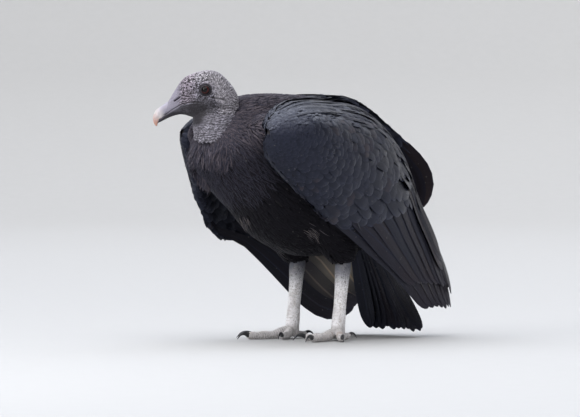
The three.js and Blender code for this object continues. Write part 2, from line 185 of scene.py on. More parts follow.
def value_noise(points, size, seed=0.0):
    """Smooth noise of about -1..1 at points in mm, with features of the given size."""
    scaled = np.asarray(points, float).reshape(-1, 3) / size + seed
    return np.array([noise.noise(p) for p in scaled.tolist()])


print("noise at a place:", value_noise([[1, 2, 3]], 10).round(3))

# %% [markdown]
# ## Node helpers
# Materials are networks of nodes. Adding and linking them by script is wordy, so a small class
# gives the usual steps short names: a sum, a mix of two colours, a soft range, a noise.

# %% Node helpers
class Nodes:
    """Short names for adding and linking the nodes of one tree."""

    def __init__(self, tree):
        self.tree = tree

    def add(self, kind, links=None, **settings):
        """A node with its properties set, and its inputs linked or given values."""
        node = self.tree.nodes.new(kind)
        for name, value in settings.items():
            setattr(node, name, value)
        for socket, value in (links or {}).items():
            self.feed(node.inputs[socket], value)
        return node

    def feed(self, socket, value):
        """Links an output to a socket, or sets its value."""
        if isinstance(value, bpy.types.NodeSocket):
            self.tree.links.new(value, socket)
        elif isinstance(value, (tuple, list)) and len(value) == 3 and len(socket.default_value) == 4:
            socket.default_value = (*value, 1)
        else:
            socket.default_value = value

    def math(self, operation, a, b=0.0):
        """One sum on two numbers."""
        return self.add("ShaderNodeMath", {0: a, 1: b}, operation=operation).outputs[0]

    def times(self, a, b):
        """The product of two numbers."""
        return self.math("MULTIPLY", a, b)

    def mix(self, share, a, b):
        """Two colours mixed by a share."""
        node = self.add("ShaderNodeMix", data_type="RGBA")
        for index, value in ((0, share), (6, a), (7, b)):
            self.feed(node.inputs[index], value)
        return node.outputs[2]

    def range(self, value, low, high, to_low=0.0, to_high=1.0):
        """A number softly mapped from one range to another."""
        links = {"Value": value, "From Min": low, "From Max": high, "To Min": to_low, "To Max": to_high}
        return self.add("ShaderNodeMapRange", links, interpolation_type="SMOOTHSTEP").outputs[0]

    def noise(self, vector, scale, detail=3.0):
        """A soft random pattern on the given coordinates."""
        links = {"Vector": vector, "Scale": scale, "Detail": detail}
        return self.add("ShaderNodeTexNoise", links).outputs["Fac"]

    def attribute(self, name):
        """A number stored on the mesh's points."""
        return self.add("ShaderNodeAttribute", attribute_name=name).outputs["Fac"]

    def place(self):
        """The place on the bird, in metres."""
        return self.add("ShaderNodeTexCoord").outputs["Object"]

    def bump(self, height, strength, distance):
        """A surface normal roughened by a height."""
        links = {"Height": height, "Strength": strength, "Distance": distance}
        return self.add("ShaderNodeBump", links).outputs[0]


print("node shorthands:", [name for name in vars(Nodes) if not name.startswith("_")])

# %% [markdown]
# ## Materials and groups
# Each material starts as a Principled shader with a helper over its nodes. A pattern that several
# materials share becomes a group with named sockets, as one would make it in the node editor.

# %% Materials and groups
def principled(name):
    """A material with its nodes helper and its shader."""
    material = bpy.data.materials.new(name)
    material.use_nodes = True
    return material, Nodes(material.node_tree), material.node_tree.nodes["Principled BSDF"]


def new_group(name, inputs, outputs):
    """An empty shader node group with named sockets: each input is (name, kind, default)."""
    group = bpy.data.node_groups.new(name, "ShaderNodeTree")
    for label, kind, default in inputs:
        socket = group.interface.new_socket(label, in_out="INPUT", socket_type=f"NodeSocket{kind}")
        if default is not None:
            socket.default_value = default
    for label in outputs:
        group.interface.new_socket(label, in_out="OUTPUT", socket_type="NodeSocketFloat")
    return group, group.nodes.new("NodeGroupInput"), group.nodes.new("NodeGroupOutput")


def dimmed(colour, factor):
    """A colour made darker or lighter."""
    return tuple(factor * c for c in colour)


print("a colour at half strength:", dimmed((0.2, 0.4, 0.6), 0.5))

# %% [markdown]
# ## The pattern of a feather
# Every vane shares one pattern: a pale line for the shaft, fine slanting barbs, loose strands at
# the end, a rim that wear has rubbed lighter, and painted shade on the part that the feather above
# overlaps. It is a node group that reads the vane's own UV map, so that black contour feathers,
# faded quills and silvery undersides can all use it with their own values.

# %% Feather pattern
BARB_PHASE = 6.283  # radians from one barb to the next


def feather_pattern_group():
    """Shaft, barbs, worn rim and painted overlap shade of one vane, from its UV map: u across it, v along
    it.
    """
    numbers = [("Barbs", "Float", 60.0), ("Tone", "Float", 0.0), ("Loose", "Float", 0.0)]
    results = ("Shaft", "Rim", "Strands", "Overlap Shade", "Height")
    group, given, out = new_group("feather_pattern", [("Vane", "Vector", None), *numbers], results)
    n = Nodes(group)
    loose = given.outputs["Loose"]
    across, along, _ = n.add("ShaderNodeSeparateXYZ", {0: given.outputs["Vane"]}).outputs
    aside = n.math("ABSOLUTE", n.math("SUBTRACT", across, 0.5))
    shaft = n.range(aside, 0.02, 0.06, 1.0, 0.0)
    rim = n.math("MAXIMUM", n.range(aside, 0.36, 0.5), n.range(along, 0.86, 1.0))
    # Painted shade: 1 on the part that the feather above overlaps, fading out towards the tip.
    overlap_shade = n.range(along, 0.55, 0.93, 1.0, 0.0)

    slant = n.math("ADD", along, n.times(aside, -0.8))
    barbs = n.math("SINE", n.times(slant, n.times(given.outputs["Barbs"], BARB_PHASE)))
    offset = n.times(given.outputs["Tone"], 37.0)
    spread = n.math("ADD", n.times(across, 14.0), n.times(n.math("SINE", offset), 2.0))
    strand_links = {0: spread, 1: n.times(along, 1.6), 2: offset}
    strand_at = n.add("ShaderNodeCombineXYZ", strand_links).outputs[0]
    strands = n.range(n.noise(strand_at, 1.0, 2.0), 0.3, 0.7)
    relief_lines = n.math("ADD", n.times(barbs, 0.16), shaft)
    neat = n.times(n.math("SUBTRACT", 1.0, loose), relief_lines)
    height = n.math("ADD", neat, n.times(strands, loose))
    for label, value in zip(results, (shaft, rim, strands, overlap_shade, height)):
        group.links.new(value, out.inputs[label])
    return group


FEATHER_PATTERN = feather_pattern_group()
print("sockets:", [s.name for s in FEATHER_PATTERN.interface.items_tree])

# %% [markdown]
# ## Dust
# A wild bird is never clean. Pale specks of dander and a broad mottle lie over all of its plumage,
# so they are a second node group, on the bird's own coordinates.

# %% Dust
def dust_group():
    """Pale specks and a broad mottle on a surface, from its own coordinates."""
    inputs = [("Vector", "Vector", None), ("Speck Scale", "Float", 260.0), ("Amount", "Float", 0.66)]
    group, given, out = new_group("dust", inputs, ("Specks", "Mottle"))
    n = Nodes(group)
    amount = given.outputs["Amount"]
    fine = n.noise(given.outputs["Vector"], given.outputs["Speck Scale"], 2.0)
    group.links.new(n.range(fine, amount, n.math("ADD", amount, 0.05)), out.inputs["Specks"])
    group.links.new(n.noise(given.outputs["Vector"], 22.0, 4.0), out.inputs["Mottle"])
    return group


DUST = dust_group()
print("groups:", [g.name for g in bpy.data.node_groups])

# %% [markdown]
# ## Feather material
# A feather's material starts near black. Each vane carries three numbers of its own: its tone, how
# far it is faded to brown, a number that also paints sheen on the mantle, and how pale it is
# underneath. Where one feather lies under the next, painted shade darkens it. The gloss is tinted
# blue, so that the shoulders turn blue grey under the sky. One function makes every kind of plumage
# from it.

# %% Feather material
WARM_SHAFT = (0.5, 0.37, 0.25)
DANDER = (0.2, 0.19, 0.18)
DUST_AMOUNT = 0.7


def feather_material(
    name, black, fade_and_sheen_colour, pale, roughness, gloss, sheen, barbs, rim, shaft, loose, overlap_shade=0.0
):
    """Black vanes that fade to brown, a mix that also paints sheen on the mantle, with a pale colour for
    undersides and wisps, and painted shade where feathers overlap.
    """
    material, n, shader = principled(name)
    tone, fade, light = (n.attribute(label) for label in ("tone", "fade", "light"))
    vane = n.add("ShaderNodeUVMap", uv_map="vane").outputs[0]
    pattern_links = {"Vane": vane, "Barbs": barbs, "Loose": loose, "Tone": tone}
    marks = n.add("ShaderNodeGroup", node_tree=FEATHER_PATTERN)
    dust = n.add("ShaderNodeGroup", node_tree=DUST)
    for node, links in ((marks, pattern_links), (dust, {"Vector": n.place(), "Amount": DUST_AMOUNT})):
        for label, value in links.items():
            n.feed(node.inputs[label], value)

    colour = n.mix(tone, dimmed(black, 0.6), dimmed(black, 1.9))
    colour = n.mix(n.times(marks.outputs["Strands"], 0.6), colour, dimmed(black, 2.4))
    # Faded towards brown by wear; on the mantle this same mix paints sheen.
    colour = n.mix(fade, colour, fade_and_sheen_colour)
    colour = n.mix(n.times(marks.outputs["Rim"], rim), colour, dimmed(black, 4))
    colour = n.mix(n.times(marks.outputs["Shaft"], shaft), colour, dimmed(black, 4))
    # Painted shade where the feather above overlaps this one.
    colour = n.mix(n.times(marks.outputs["Overlap Shade"], overlap_shade), colour, dimmed(black, 0.15))
    colour = n.mix(light, colour, pale)
    colour = n.mix(n.times(n.times(marks.outputs["Shaft"], light), 0.9), colour, WARM_SHAFT)
    colour = n.mix(n.times(dust.outputs["Specks"], 0.3), colour, DANDER)
    n.feed(shader.inputs["Base Color"], colour)

    rough = n.math("ADD", n.times(dust.outputs["Mottle"], 0.22), roughness - 0.25)
    rough = n.math("ADD", rough, n.times(tone, 0.28))
    n.feed(shader.inputs["Roughness"], n.math("ADD", rough, n.times(fade, 0.1)))
    n.feed(shader.inputs["Normal"], n.bump(marks.outputs["Height"], 0.35, 0.0003))
    shader.inputs["Specular IOR Level"].default_value = gloss
    shader.inputs["Specular Tint"].default_value = (0.68, 0.73, 1.0, 1)
    shader.inputs["Sheen Weight"].default_value = sheen
    shader.inputs["Sheen Roughness"].default_value = 0.45
    shader.inputs["Sheen Tint"].default_value = (0.62, 0.66, 0.85, 1)
    return material


print("feather material defined")

# %% [markdown]
# ### Five kinds of plumage
# Dull loose body feathers, a slightly glossier back, blue black coverts with clear rims, quills
# with strong shafts and fine barbs, and hair-like hackles for neck and mantle, which fade brown.
# Body and back fade to a violet grey, which also paints sheen on the mantle.

# %% Kinds of plumage
BLACK_BODY = feather_material(
    "body_plumage", (0.0034, 0.003, 0.0034), (0.046, 0.04, 0.05), (0.22, 0.21, 0.2),
    roughness=0.62, gloss=0.1, sheen=0.02, barbs=20, rim=0.12, shaft=0.05, loose=0.9,
)
WING_COVERT = feather_material(
    "wing_coverts", (0.005, 0.0056, 0.0098), (0.042, 0.031, 0.031), (0.2, 0.19, 0.19),
    roughness=0.42, gloss=0.4, sheen=0.0, barbs=34, rim=0.95, shaft=0.4, loose=0.3, overlap_shade=0.7,
)
BLACK_BACK = feather_material(
    "back_plumage", (0.0036, 0.0036, 0.005), (0.046, 0.04, 0.05), (0.2, 0.19, 0.19),
    roughness=0.55, gloss=0.18, sheen=0.0, barbs=24, rim=0.5, shaft=0.2, loose=0.6,
)
QUILL = feather_material(
    "flight_quills", (0.004, 0.0045, 0.0078), (0.03, 0.021, 0.02), (0.3, 0.27, 0.22),
    roughness=0.42, gloss=0.24, sheen=0.0, barbs=90, rim=0.35, shaft=0.8, loose=0.1,
)
HACKLE = feather_material(
    "neck_hackles", (0.0135, 0.013, 0.0185), (0.1, 0.082, 0.09), (0.2, 0.18, 0.17),
    roughness=0.58, gloss=0.25, sheen=0.08, barbs=8, rim=0.3, shaft=0.2, loose=0.6,
)
print("plumage:", [m.name for m in (BLACK_BODY, WING_COVERT, BLACK_BACK, QUILL, HACKLE)])

# %% [markdown]
# ## One vane, copied many times
# A real contour feather is a thin, slightly domed blade. One template does for all: a prism with
# rings of points from root to tip, which each feather bends along its own line over the body. A
# particle system could scatter a modelled feather, but it would lie straight and stay an instance.

# %% Vane template
class Vane:
    """A thin closed blade: each point's ring along it and place across it, and the faces.

    outline is (share along, share of the half width); dome is a share of the half width, and
    thick is in millimetres.
    """

    def __init__(self, around, outline, dome, thick):
        rows = len(outline)
        bm = bmesh.new()
        bmesh.ops.create_cone(bm, cap_ends=True, segments=around, radius1=1, radius2=1, depth=1)
        lengthwise = [e for e in bm.edges if abs(e.verts[0].co.z - e.verts[1].co.z) > 0.5]
        bmesh.ops.subdivide_edges(bm, edges=lengthwise, cuts=rows - 2, use_grid_fill=True)
        bmesh.ops.recalc_face_normals(bm, faces=bm.faces[:])
        co = np.array([v.co for v in bm.verts])
        self.ring = np.rint((co[:, 2] + 0.5) * (rows - 1)).astype(int)
        self.x, self.y = co[:, 0], co[:, 1]
        faces = [[v.index for v in f.verts] for f in bm.faces]
        self.totals = np.array([len(f) for f in faces])
        self.loops = np.concatenate(faces)
        bm.free()
        self.along = np.array([v for v, _ in outline])
        self.spread = np.array([w for _, w in outline])
        self.dome, self.thick = dome, thick
        self.count = len(co)

    def points(self, centre, normal, half_width, tilt):
        """Each feather's points from its line (n, rows, 3), the normals there and its half width."""
        along = unit(np.gradient(centre, axis=1))
        side = unit(np.cross(along, normal))
        up = unit(np.cross(side, along))
        w = half_width[:, None] * self.spread[None]
        c, s, u, w = (q[:, self.ring] for q in (centre, side, up, w))
        x, y = self.x[None, :, None], self.y[None, :]
        bow = self.dome * (1 - x * x)[..., 0] + tilt[:, None] * self.x[None]
        rise = bow * w + 0.0005 * self.thick * y
        return c + s * x * w[..., None] + u * rise[..., None]


ROUND_TIP = [(0, 0.3), (0.25, 0.72), (0.5, 0.95), (0.72, 1), (0.87, 0.86), (0.96, 0.55), (1, 0.12)]
SOFT_TIP = [(0, 0.3), (0.3, 0.8), (0.6, 1), (0.82, 0.8), (0.95, 0.4), (1, 0.06)]
HAIR_TIP = [(0, 0.6), (0.3, 1), (0.6, 0.8), (0.85, 0.42), (1, 0.05)]
CONTOUR = Vane(4, SOFT_TIP, dome=0.16, thick=0.22)
COVERT = Vane(8, ROUND_TIP, dome=0.1, thick=0.24)
LOCK = Vane(4, HAIR_TIP, dome=0.4, thick=0.4)
print("vane templates:", CONTOUR.count, COVERT.count, LOCK.count, "points each")

# %% [markdown]
# ### Joined copies
# All feathers of a tract are one mesh, which keeps the model light and lets the export carry it.
# The map named OFBake puts each feather in a tiny patch at its root's place on the body, and the map
# named vane runs across and along it. Tone, fade and paleness are stored on the points.

# %% Joined copies
PATCH = 0.003  # how wide a feather's patch is on the body's unwrap


def joined_vanes(name, vane, centre, normal, half_width, roots, values, material, tilt=None):
    """One mesh of all the vanes of a tract. roots is each one's place (0..1) on the skin's unwrap."""
    n = len(centre)
    tilt = np.zeros(n) if tilt is None else tilt
    points = vane.points(centre, normal, half_width, tilt)
    mesh = bpy.data.meshes.new(name)
    mesh.vertices.add(n * vane.count)
    mesh.vertices.foreach_set("co", points.ravel())
    loops = (vane.loops[None] + vane.count * np.arange(n)[:, None]).ravel()
    mesh.loops.add(len(loops))
    mesh.loops.foreach_set("vertex_index", loops)
    mesh.polygons.add(n * len(vane.totals))
    starts = np.concatenate([[0], np.cumsum(np.tile(vane.totals, n))[:-1]])
    mesh.polygons.foreach_set("loop_start", starts)
    mesh.polygons.foreach_set("use_smooth", np.ones(n * len(vane.totals), bool))
    mesh.update(calc_edges=True)
    place = loops % vane.count
    u = vane.x[place] * 0.5 + 0.5
    v = vane.along[vane.ring[place]]
    which = loops // vane.count
    for label, uv in (
        ("OFBake", roots[which] + PATCH * (np.column_stack([u, v]) - 0.5)),
        ("vane", np.column_stack([u, v])),
    ):
        mesh.uv_layers.new(name=label).data.foreach_set("uv", uv.ravel())
    for label, value in values.items():
        per_point = np.ndim(value) == 2
        each = value.ravel() if per_point else np.repeat(np.broadcast_to(value, (n,)), vane.count)
        mesh.attributes.new(label, "FLOAT", "POINT").data.foreach_set("value", each)
    ends = np.zeros(len(mesh.edges) * 2, int)
    mesh.edges.foreach_get("vertices", ends)
    local = ends.reshape(-1, 2) % vane.count
    on_edge = (np.abs(vane.x[local]) > 0.99).all(1)
    rim = on_edge & (np.abs(np.diff(vane.x[local], axis=1)[:, 0]) < 0.1)
    mesh.attributes.new("sharp_edge", "BOOLEAN", "EDGE").data.foreach_set("value", rim)
    mesh.validate()
    mesh.materials.append(material)
    piece = bpy.data.objects.new(name, mesh)
    bpy.context.scene.collection.objects.link(piece)
    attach(piece, "root")
    print(f"{name}: {n} feathers, {sum(t - 2 for t in vane.totals) * n} triangles")
    return piece


print("each feather's patch on the unwrap is", PATCH, "wide")

# %% [markdown]
# ## The let-down wings
# Each wing is a curved sheet between its leading edge, which hangs low, and its trailing edge, which
# lies along the back. Places on it are given as t, from wrist to tip, and s, from lower to upper
# edge. The numbers are the same as the solids', so the dressed wing fills the solid wing's place.

# %% Wing outlines
WINGS = {
    "left": {
        "side": 1,
        "lower": [
            [83, -164, 244], [89, -156, 222], [91, -124, 188], [90, -82, 155], [86, -34, 130],
            [80, 12, 108], [72, 60, 86], [64, 104, 57], [61, 122, 40], [60, 135, 28],
        ],
        "upper": [
            [81, -163, 250], [70, -144, 268], [54, -103, 283], [40, -36, 285], [30, 24, 281], [28, 70, 262],
            [30, 106, 226], [33, 127, 176], [37, 153, 130], [46, 172, 80], [55, 177, 34],
        ],
        "arm_end": [0.42, 0.75],
        "tertial_tip": [[0.88, 0.7], [0.84, 0.93]],
    },
    "right": {
        "side": -1,
        "lower": [
            [-85, -144, 242], [-95, -123, 200], [-101, -100, 160], [-105, -70, 127], [-106, -24, 110],
            [-104, 23, 76], [-100, 66, 42], [-94, 102, 26], [-84, 153, 35],
        ],
        "upper": [
            [-80, -140, 252], [-68, -122, 270], [-44, -60, 285], [-24, 20, 291], [-18, 78, 285],
            [-12, 128, 253], [-5, 167, 224], [0, 186, 190], [-12, 180, 150], [-40, 172, 100],
            [-74, 160, 46],
        ],
        "arm_end": [0.42, 0.61],
        "tertial_tip": [[0.75, 0.7], [0.78, 1]],
    },
}
print("points along the edges:", {name: (len(w["lower"]), len(w["upper"])) for name, w in WINGS.items()})

# %% [markdown]
# ### Sheet and arm
# The sheet sags outwards between its edges, and the arm is a rounded body round its upper part. Both
# are functions of place, so that skin, coverts and quills can be laid on them at any depth.

# %% Sheet and arm
WING_SAG = profile([6, 34, 38, 32, 22, 12, 5])
ARM_OUT = profile([4, 9, 10, 9, 7.5, 6, 5])
ARM_IN = profile([5, 24, 28, 22, 13, 5.5, 2.2])
TOP_EDGE = 0.06  # how much of c, past 1 on either side, is the arm's rounded top edge
TOP_RISE = 2.5  # how far that edge stands up, in mm
NOSE = 0.035  # the t within which the arm rounds over to its front end


class Wing:
    """A wing's sheet, and the rounded arm round its upper part."""

    def __init__(self, side, lower, upper, arm_end, tertial_tip):
        self.side, self.arm_end, self.tertial_tip = side, arm_end, tertial_tip
        self.low, self.high = even_curve(lower), even_curve(upper)
        self.low_way, self.high_way = (unit(np.gradient(c, axis=0)) for c in (self.low, self.high))
        self.length = np.linalg.norm(np.diff(self.low, axis=0), axis=1).sum()

    def sheet(self, t, s, lift=0.0):
        """Points on the sheet, lifted outwards by some millimetres."""
        t, s, lift = np.broadcast_arrays(np.asarray(t, float), s, lift)
        base = sampled(self.low, t)
        chord = sampled(self.high, t) - base
        along = unit(0.5 * (sampled(self.low_way, t) + sampled(self.high_way, t)))
        outward = unit(np.cross(chord, along))
        outward = outward * np.where(outward[..., :1] * self.side < 0, -1, 1)
        arch = 4 * s * (1 - s) * WING_SAG(t)
        return base + chord * s[..., None] + outward * (arch + lift)[..., None]

    def reach(self, s):
        """The t at which the arm and its coverts end."""
        return self.arm_end[0] + (self.arm_end[1] - self.arm_end[0]) * s

    def arm(self, t, c, inset=0.0):
        """Points round the arm: c is s on the outside, minus s on the inside, and past 1 over the top."""
        t, c, inset = np.broadcast_arrays(np.asarray(t, float), c, inset)
        s = np.clip(np.abs(c), 0, 1)
        share = t / self.reach(s)
        bulge = 0.25 + 0.82 * np.sqrt(np.sin(np.pi * s).clip(0))
        outside = ARM_OUT(share) * bulge - inset
        inside = -ARM_IN(share) * bulge + inset
        blend = 0.5 + 0.5 * np.tanh(c / 0.03)
        points = self.sheet(t, s, inside + (outside - inside) * blend)
        over = ((np.abs(c) - 1) / (2 * TOP_EDGE)).clip(0, 1)
        other = self.sheet(t, s, np.where(c > 0, inside, outside))
        upwards = unit(sampled(self.high, t) - sampled(self.low, t))
        crest = upwards * (TOP_RISE * np.sin(math.pi * over) - inset * (over > 0))[..., None]
        points = points + (other - points) * over[..., None] + crest
        middle = self.sheet(t, np.full_like(s, 0.5))
        closing = np.sqrt((1 - ((NOSE - t) / NOSE).clip(0, 1) ** 2))[..., None]
        return middle + (points - middle) * closing


WING = {name: Wing(**shape) for name, shape in WINGS.items()}
print("wing lengths, mm:", {name: round(w.length) for name, w in WING.items()})

# %% [markdown]
# ### Wing coverts
# From the wrist back, rows of rounded feathers grow from scales of a few millimetres to blades of
# five centimetres, each row hiding the roots of the next. They are planted row by row on the arm,
# root sunk below the surface and tip riding on it, just as shingles are laid.

# %% Wing coverts
def on_surface(place, t, c, side):
    """Outward normals of place(t, c), by small steps along both."""
    e = 1e-3
    along = place(np.minimum(t + e, 1.2), c) - place(t - e, c)
    across = place(t, c + e) - place(t, c - e)
    return unit(np.cross(along, across)) * side


def covert_length(share, c):
    """How long a covert rooted there is, in mm: scales at the wrist, blades at the back."""
    length = np.interp(share, (0, 0.08, 0.2, 0.45, 0.7, 0.9), (6, 10, 17, 30, 42, 54))
    by_edge = np.interp(np.abs(c), (0, 0.05, 0.16, 0.9, 1), (0.5, 0.62, 1, 1, 0.75))
    return length * by_edge * np.where(c < 0, 1.15, 1)


def covert_rows(wing):
    """Roots of the coverts as (share of the arm, c), row by row."""
    roots = []
    share, row = 0.008, 0
    while share < 0.93:
        length = covert_length(share, 0.5)
        middle = np.linspace(-1 - TOP_EDGE, 1 + TOP_EDGE, 101)
        across = wing.arm(share * wing.reach(np.abs(middle).clip(0, 1)), middle)
        step = np.linalg.norm(np.diff(across, axis=0), axis=1)
        relative = covert_length(share, (middle[1:] + middle[:-1]) / 2) / length
        girth = np.concatenate([[0], np.cumsum(step / (0.05 + relative))])
        count = max(8, round(girth[-1] / (0.31 * length)))
        at = (np.arange(count) + 0.5 * (row % 2) + 0.25 + RNG.uniform(-0.12, 0.12, count)) / count
        c = np.interp(at * girth[-1], girth, middle)
        roots.append(np.column_stack([np.full(count, share), c]))
        arm_length = wing.length * (wing.arm_end[0] + wing.arm_end[1]) / 2
        share += 0.27 * length / arm_length
        row += 1
    roots = np.vstack(roots)
    return roots + np.column_stack([RNG.uniform(0, 0.012, len(roots)), np.zeros(len(roots))])


def covert_lines(wing, roots, vane):
    """Centre lines and normals of the coverts over the arm."""
    share, c = roots.T
    t0 = share * wing.reach(np.abs(c).clip(0, 1))
    shorter = 1 - 0.3 * smoothstep(0.8, 1, np.abs(c))
    length = covert_length(share, c) * RNG.uniform(0.85, 1.12, len(c)) * shorter
    step = np.linalg.norm(wing.arm(t0 + 0.01, c) - wing.arm(t0 - 0.01, c), axis=1) / 0.02
    t = t0[:, None] + (length / step)[:, None] * vane.along
    drift = RNG.normal(0, 0.018, len(c))
    c_line = (c[:, None] + drift[:, None] * vane.along).clip(-1 - TOP_EDGE, 1 + TOP_EDGE)
    root_depth = np.minimum(2.6, 0.09 * length)[:, None]
    curl = smoothstep(0.3, 0.85, vane.along) * (1 - 0.45 * smoothstep(0.88, 1, vane.along))
    inset = 0.3 + root_depth * (1 - vane.along) ** 1.2 - curl * np.minimum(1.15, 0.04 * length)[:, None]
    settle = smoothstep(0.8, 1.15, t / wing.reach(np.abs(c_line).clip(0, 1))) * 3.4
    outside = np.where(c_line > 0, 1, smoothstep(0.75, 1, -c_line))
    centre = wing.arm(t, c_line, inset + settle * outside)
    normal = on_surface(wing.arm, t, c_line, wing.side)
    return centre, normal, length


print("coverts in mm, from wrist to back:", covert_length(np.array((0.0, 0.3, 0.9)), 0.5).round(1))

# %% [markdown]
# ### Planting the coverts
# Every covert gets its own tone, tilt and wear. They are slimmer along the wing's top and bottom
# edges, where broad tips would make the outline bumpy.

# %% Planted coverts
for name, wing in WING.items():
    roots = covert_rows(wing)
    centre, normal, length = covert_lines(wing, roots, COVERT)
    middle = centre[:, 3]
    worn = smoothstep(0.35, 0.8, value_noise(middle, 34, 3.1) + RNG.normal(0, 0.3, len(roots)))
    fade = worn * 0.8 * smoothstep(0.12, 0.4, roots[:, 0])
    values = {"tone": RNG.uniform(0, 1, len(roots)), "fade": fade, "light": np.zeros(len(roots))}
    places = np.column_stack([0.05 + 0.4 * roots[:, 0].clip(0, 1), 0.5 + 0.45 * roots[:, 1]])
    by_edge = np.interp(np.abs(roots[:, 1]), (0, 0.06, 0.16, 0.86, 0.97), (0.5, 0.8, 1, 1, 0.66))
    slimness = np.interp(roots[:, 0], (0, 0.25), (0.38, 0.28)) * by_edge
    half_width = 0.001 * length * slimness
    piece = joined_vanes(
        f"wing_coverts_{name}", COVERT, metres(centre), normal, half_width, places, values, WING_COVERT,
        tilt=0.05 * wing.side + RNG.normal(0, 0.09, len(roots)),
    )

# %% [markdown]
# ### Flight feathers
# Behind the coverts come the big quills: primaries lowest and farthest, then secondaries, and the
# tertials on top near the body. Each inner quill lies over the next outer one, so every blade leans
# a little. A quill follows the sheet from its place at the arm's end to its own tip.

# %% Quills
QUILL_OUTLINE = [
    (0, 0.08), (0.12, 0.24), (0.3, 0.56), (0.4, 0.73), (0.5, 0.86), (0.6, 0.95), (0.68, 1), (0.74, 1),
    (0.8, 1), (0.86, 0.97), (0.91, 0.88), (0.945, 0.74), (0.972, 0.54), (0.99, 0.33), (1, 0.1),
]
BLADE = Vane(12, QUILL_OUTLINE, dome=0.09, thick=0.45)


def quills(name, wing, count, root, tip, lift, width, fade, light=0.0):
    """A fan of quills from the root line to the tip line, each given as (t, s) at both ends.

    light is how pale the undersides of the middle quills are, towards their tips.
    """
    f = (np.arange(count) + 0.5) / count
    ends = [np.array(a) + (np.array(b) - np.array(a)) * f[:, None] for a, b in (root, tip)]
    ends[1] = ends[1] + np.column_stack([RNG.normal(0, 0.006, count), RNG.normal(0, 0.004, count)])
    v = BLADE.along
    t = ends[0][:, :1] + (ends[1][:, :1] - ends[0][:, :1]) * v
    s = ends[0][:, 1:] + (ends[1][:, 1:] - ends[0][:, 1:]) * v
    raised = (lift[0] + (lift[1] - lift[0]) * f)[:, None] + RNG.normal(0, 0.12, (count, 1)) * v
    centre = wing.sheet(t, s, raised)
    normal = on_surface(wing.sheet, t, s, wing.side)
    v = BLADE.along[BLADE.ring]
    values = {
        "tone": RNG.uniform(0, 1, count),
        "fade": np.broadcast_to(fade, (count,))[:, None] + 0.45 * smoothstep(0.75, 1, v),
        "light": light * (BLADE.y < 0.01) * bell(v - 0.72, 0.14) * bell(f - 0.5, 0.22)[:, None],
    }
    places = np.column_stack([0.5 + 0.1 * ends[0][:, 0], 0.05 + 0.4 * ends[0][:, 1] + 0.1 * lift[1]])
    half_width = 0.001 * np.asarray(width) * np.ones(count)
    piece = joined_vanes(
        name, BLADE, metres(centre), normal, half_width, places, values, QUILL,
        tilt=np.full(count, 0.09 * wing.side),
    )
    return piece


for name, wing in WING.items():
    secondaries = quills(
        f"secondary_quills_{name}", wing, 10, [[0.28, 0.06], [0.5, 0.92]], [[0.86, 0.02], [0.965, 0.98]],
        lift=(0, 2.2), width=13, fade=RNG.uniform(0, 0.5, 10),
    )
    primaries = quills(
        f"primary_quills_{name}", wing, 7, [[0.26, 0], [0.4, 0.3]], [[0.97, 0], [1, 1]],
        lift=(-3.4, -2.2), width=13, fade=0.2, light=0.9,
    )
    tertials = quills(
        f"tertial_quills_{name}", wing, 6, [[0.42, 0.56], [0.46, 0.99]], wing.tertial_tip,
        lift=(3, 4.6), width=16, fade=RNG.uniform(0, 0.7, 6),
    )
    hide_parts(f"secondaries_{name}")
    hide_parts(f"primaries_{name}")
    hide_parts(f"tertials_{name}")

# %% [markdown]
# ### Tail
# Twelve rectrices make a short roofed fan, the middle pair on top. They are the same blades as the
# wings' quills, laid on a roof that is given by a root, a tip and a width at both ends.

# %% Tail
TAIL_ROOT, TAIL_TIP = np.array((0.0, 62, 152)), np.array((0.0, 143, 6))
TAIL_HALF_WIDTHS = (10, 52)
TAIL_ROOF = 9
RECTRICES = 12


def tail_place(v, f):
    """A point of the tail's roof: v from root to tip, f from -1 to 1 across."""
    axis = TAIL_TIP - TAIL_ROOT
    outward = unit(np.cross(ACROSS_WAY, axis))
    wide = TAIL_HALF_WIDTHS[0] + (TAIL_HALF_WIDTHS[1] - TAIL_HALF_WIDTHS[0]) * v
    aside = (wide * f)[..., None] * ACROSS_WAY
    return TAIL_ROOT + v[..., None] * axis + aside - (TAIL_ROOF * f * f * v)[..., None] * outward


f = np.linspace(-0.92, 0.92, RECTRICES)
v = np.broadcast_to(BLADE.along, (RECTRICES, len(BLADE.along)))
reach = (0.985 - 0.03 * f * f + RNG.normal(0, 0.006, RECTRICES))[:, None]
across = np.broadcast_to(f[:, None], v.shape)
axis = unit(TAIL_TIP - TAIL_ROOT)
outward = unit(np.cross(ACROSS_WAY, axis))
stack = (1.1 * (1 - np.abs(f)))[:, None, None] * outward
piece = joined_vanes(
    "tail_quills", BLADE, metres(tail_place(v * reach, across) + stack),
    np.broadcast_to(outward, v.shape + (3,)), np.full(RECTRICES, 0.0118),
    np.column_stack([0.75 + 0.1 * f, np.full(RECTRICES, 0.9)]),
    {"tone": RNG.uniform(0, 1, RECTRICES), "fade": RNG.uniform(0, 0.35, RECTRICES), "light": 0.0}, QUILL,
    tilt=-0.12 * np.sign(f),
)
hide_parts("tail")

# %% [markdown]
# ## Skin under the coat
# Below the plumage one skin carries trunk, thighs and wing arms, a few millimetres inside the
# solids. A few helpers make its forms: copies of solids sunk along their normals, and tubes whose
# points are then placed by a formula, as a loft would place them.

# %% Meshes and tubes
def node_copy(node, depth):
    """A merged copy of a solid, sunk by some millimetres."""
    bm = bmesh.new()
    bm.from_mesh(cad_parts[node].data)
    bmesh.ops.remove_doubles(bm, verts=bm.verts, dist=1e-5)
    bm.normal_update()
    moved = [v.co - v.normal * depth * 0.001 for v in bm.verts]
    for v, co in zip(bm.verts, moved):
        v.co = co
    return bm


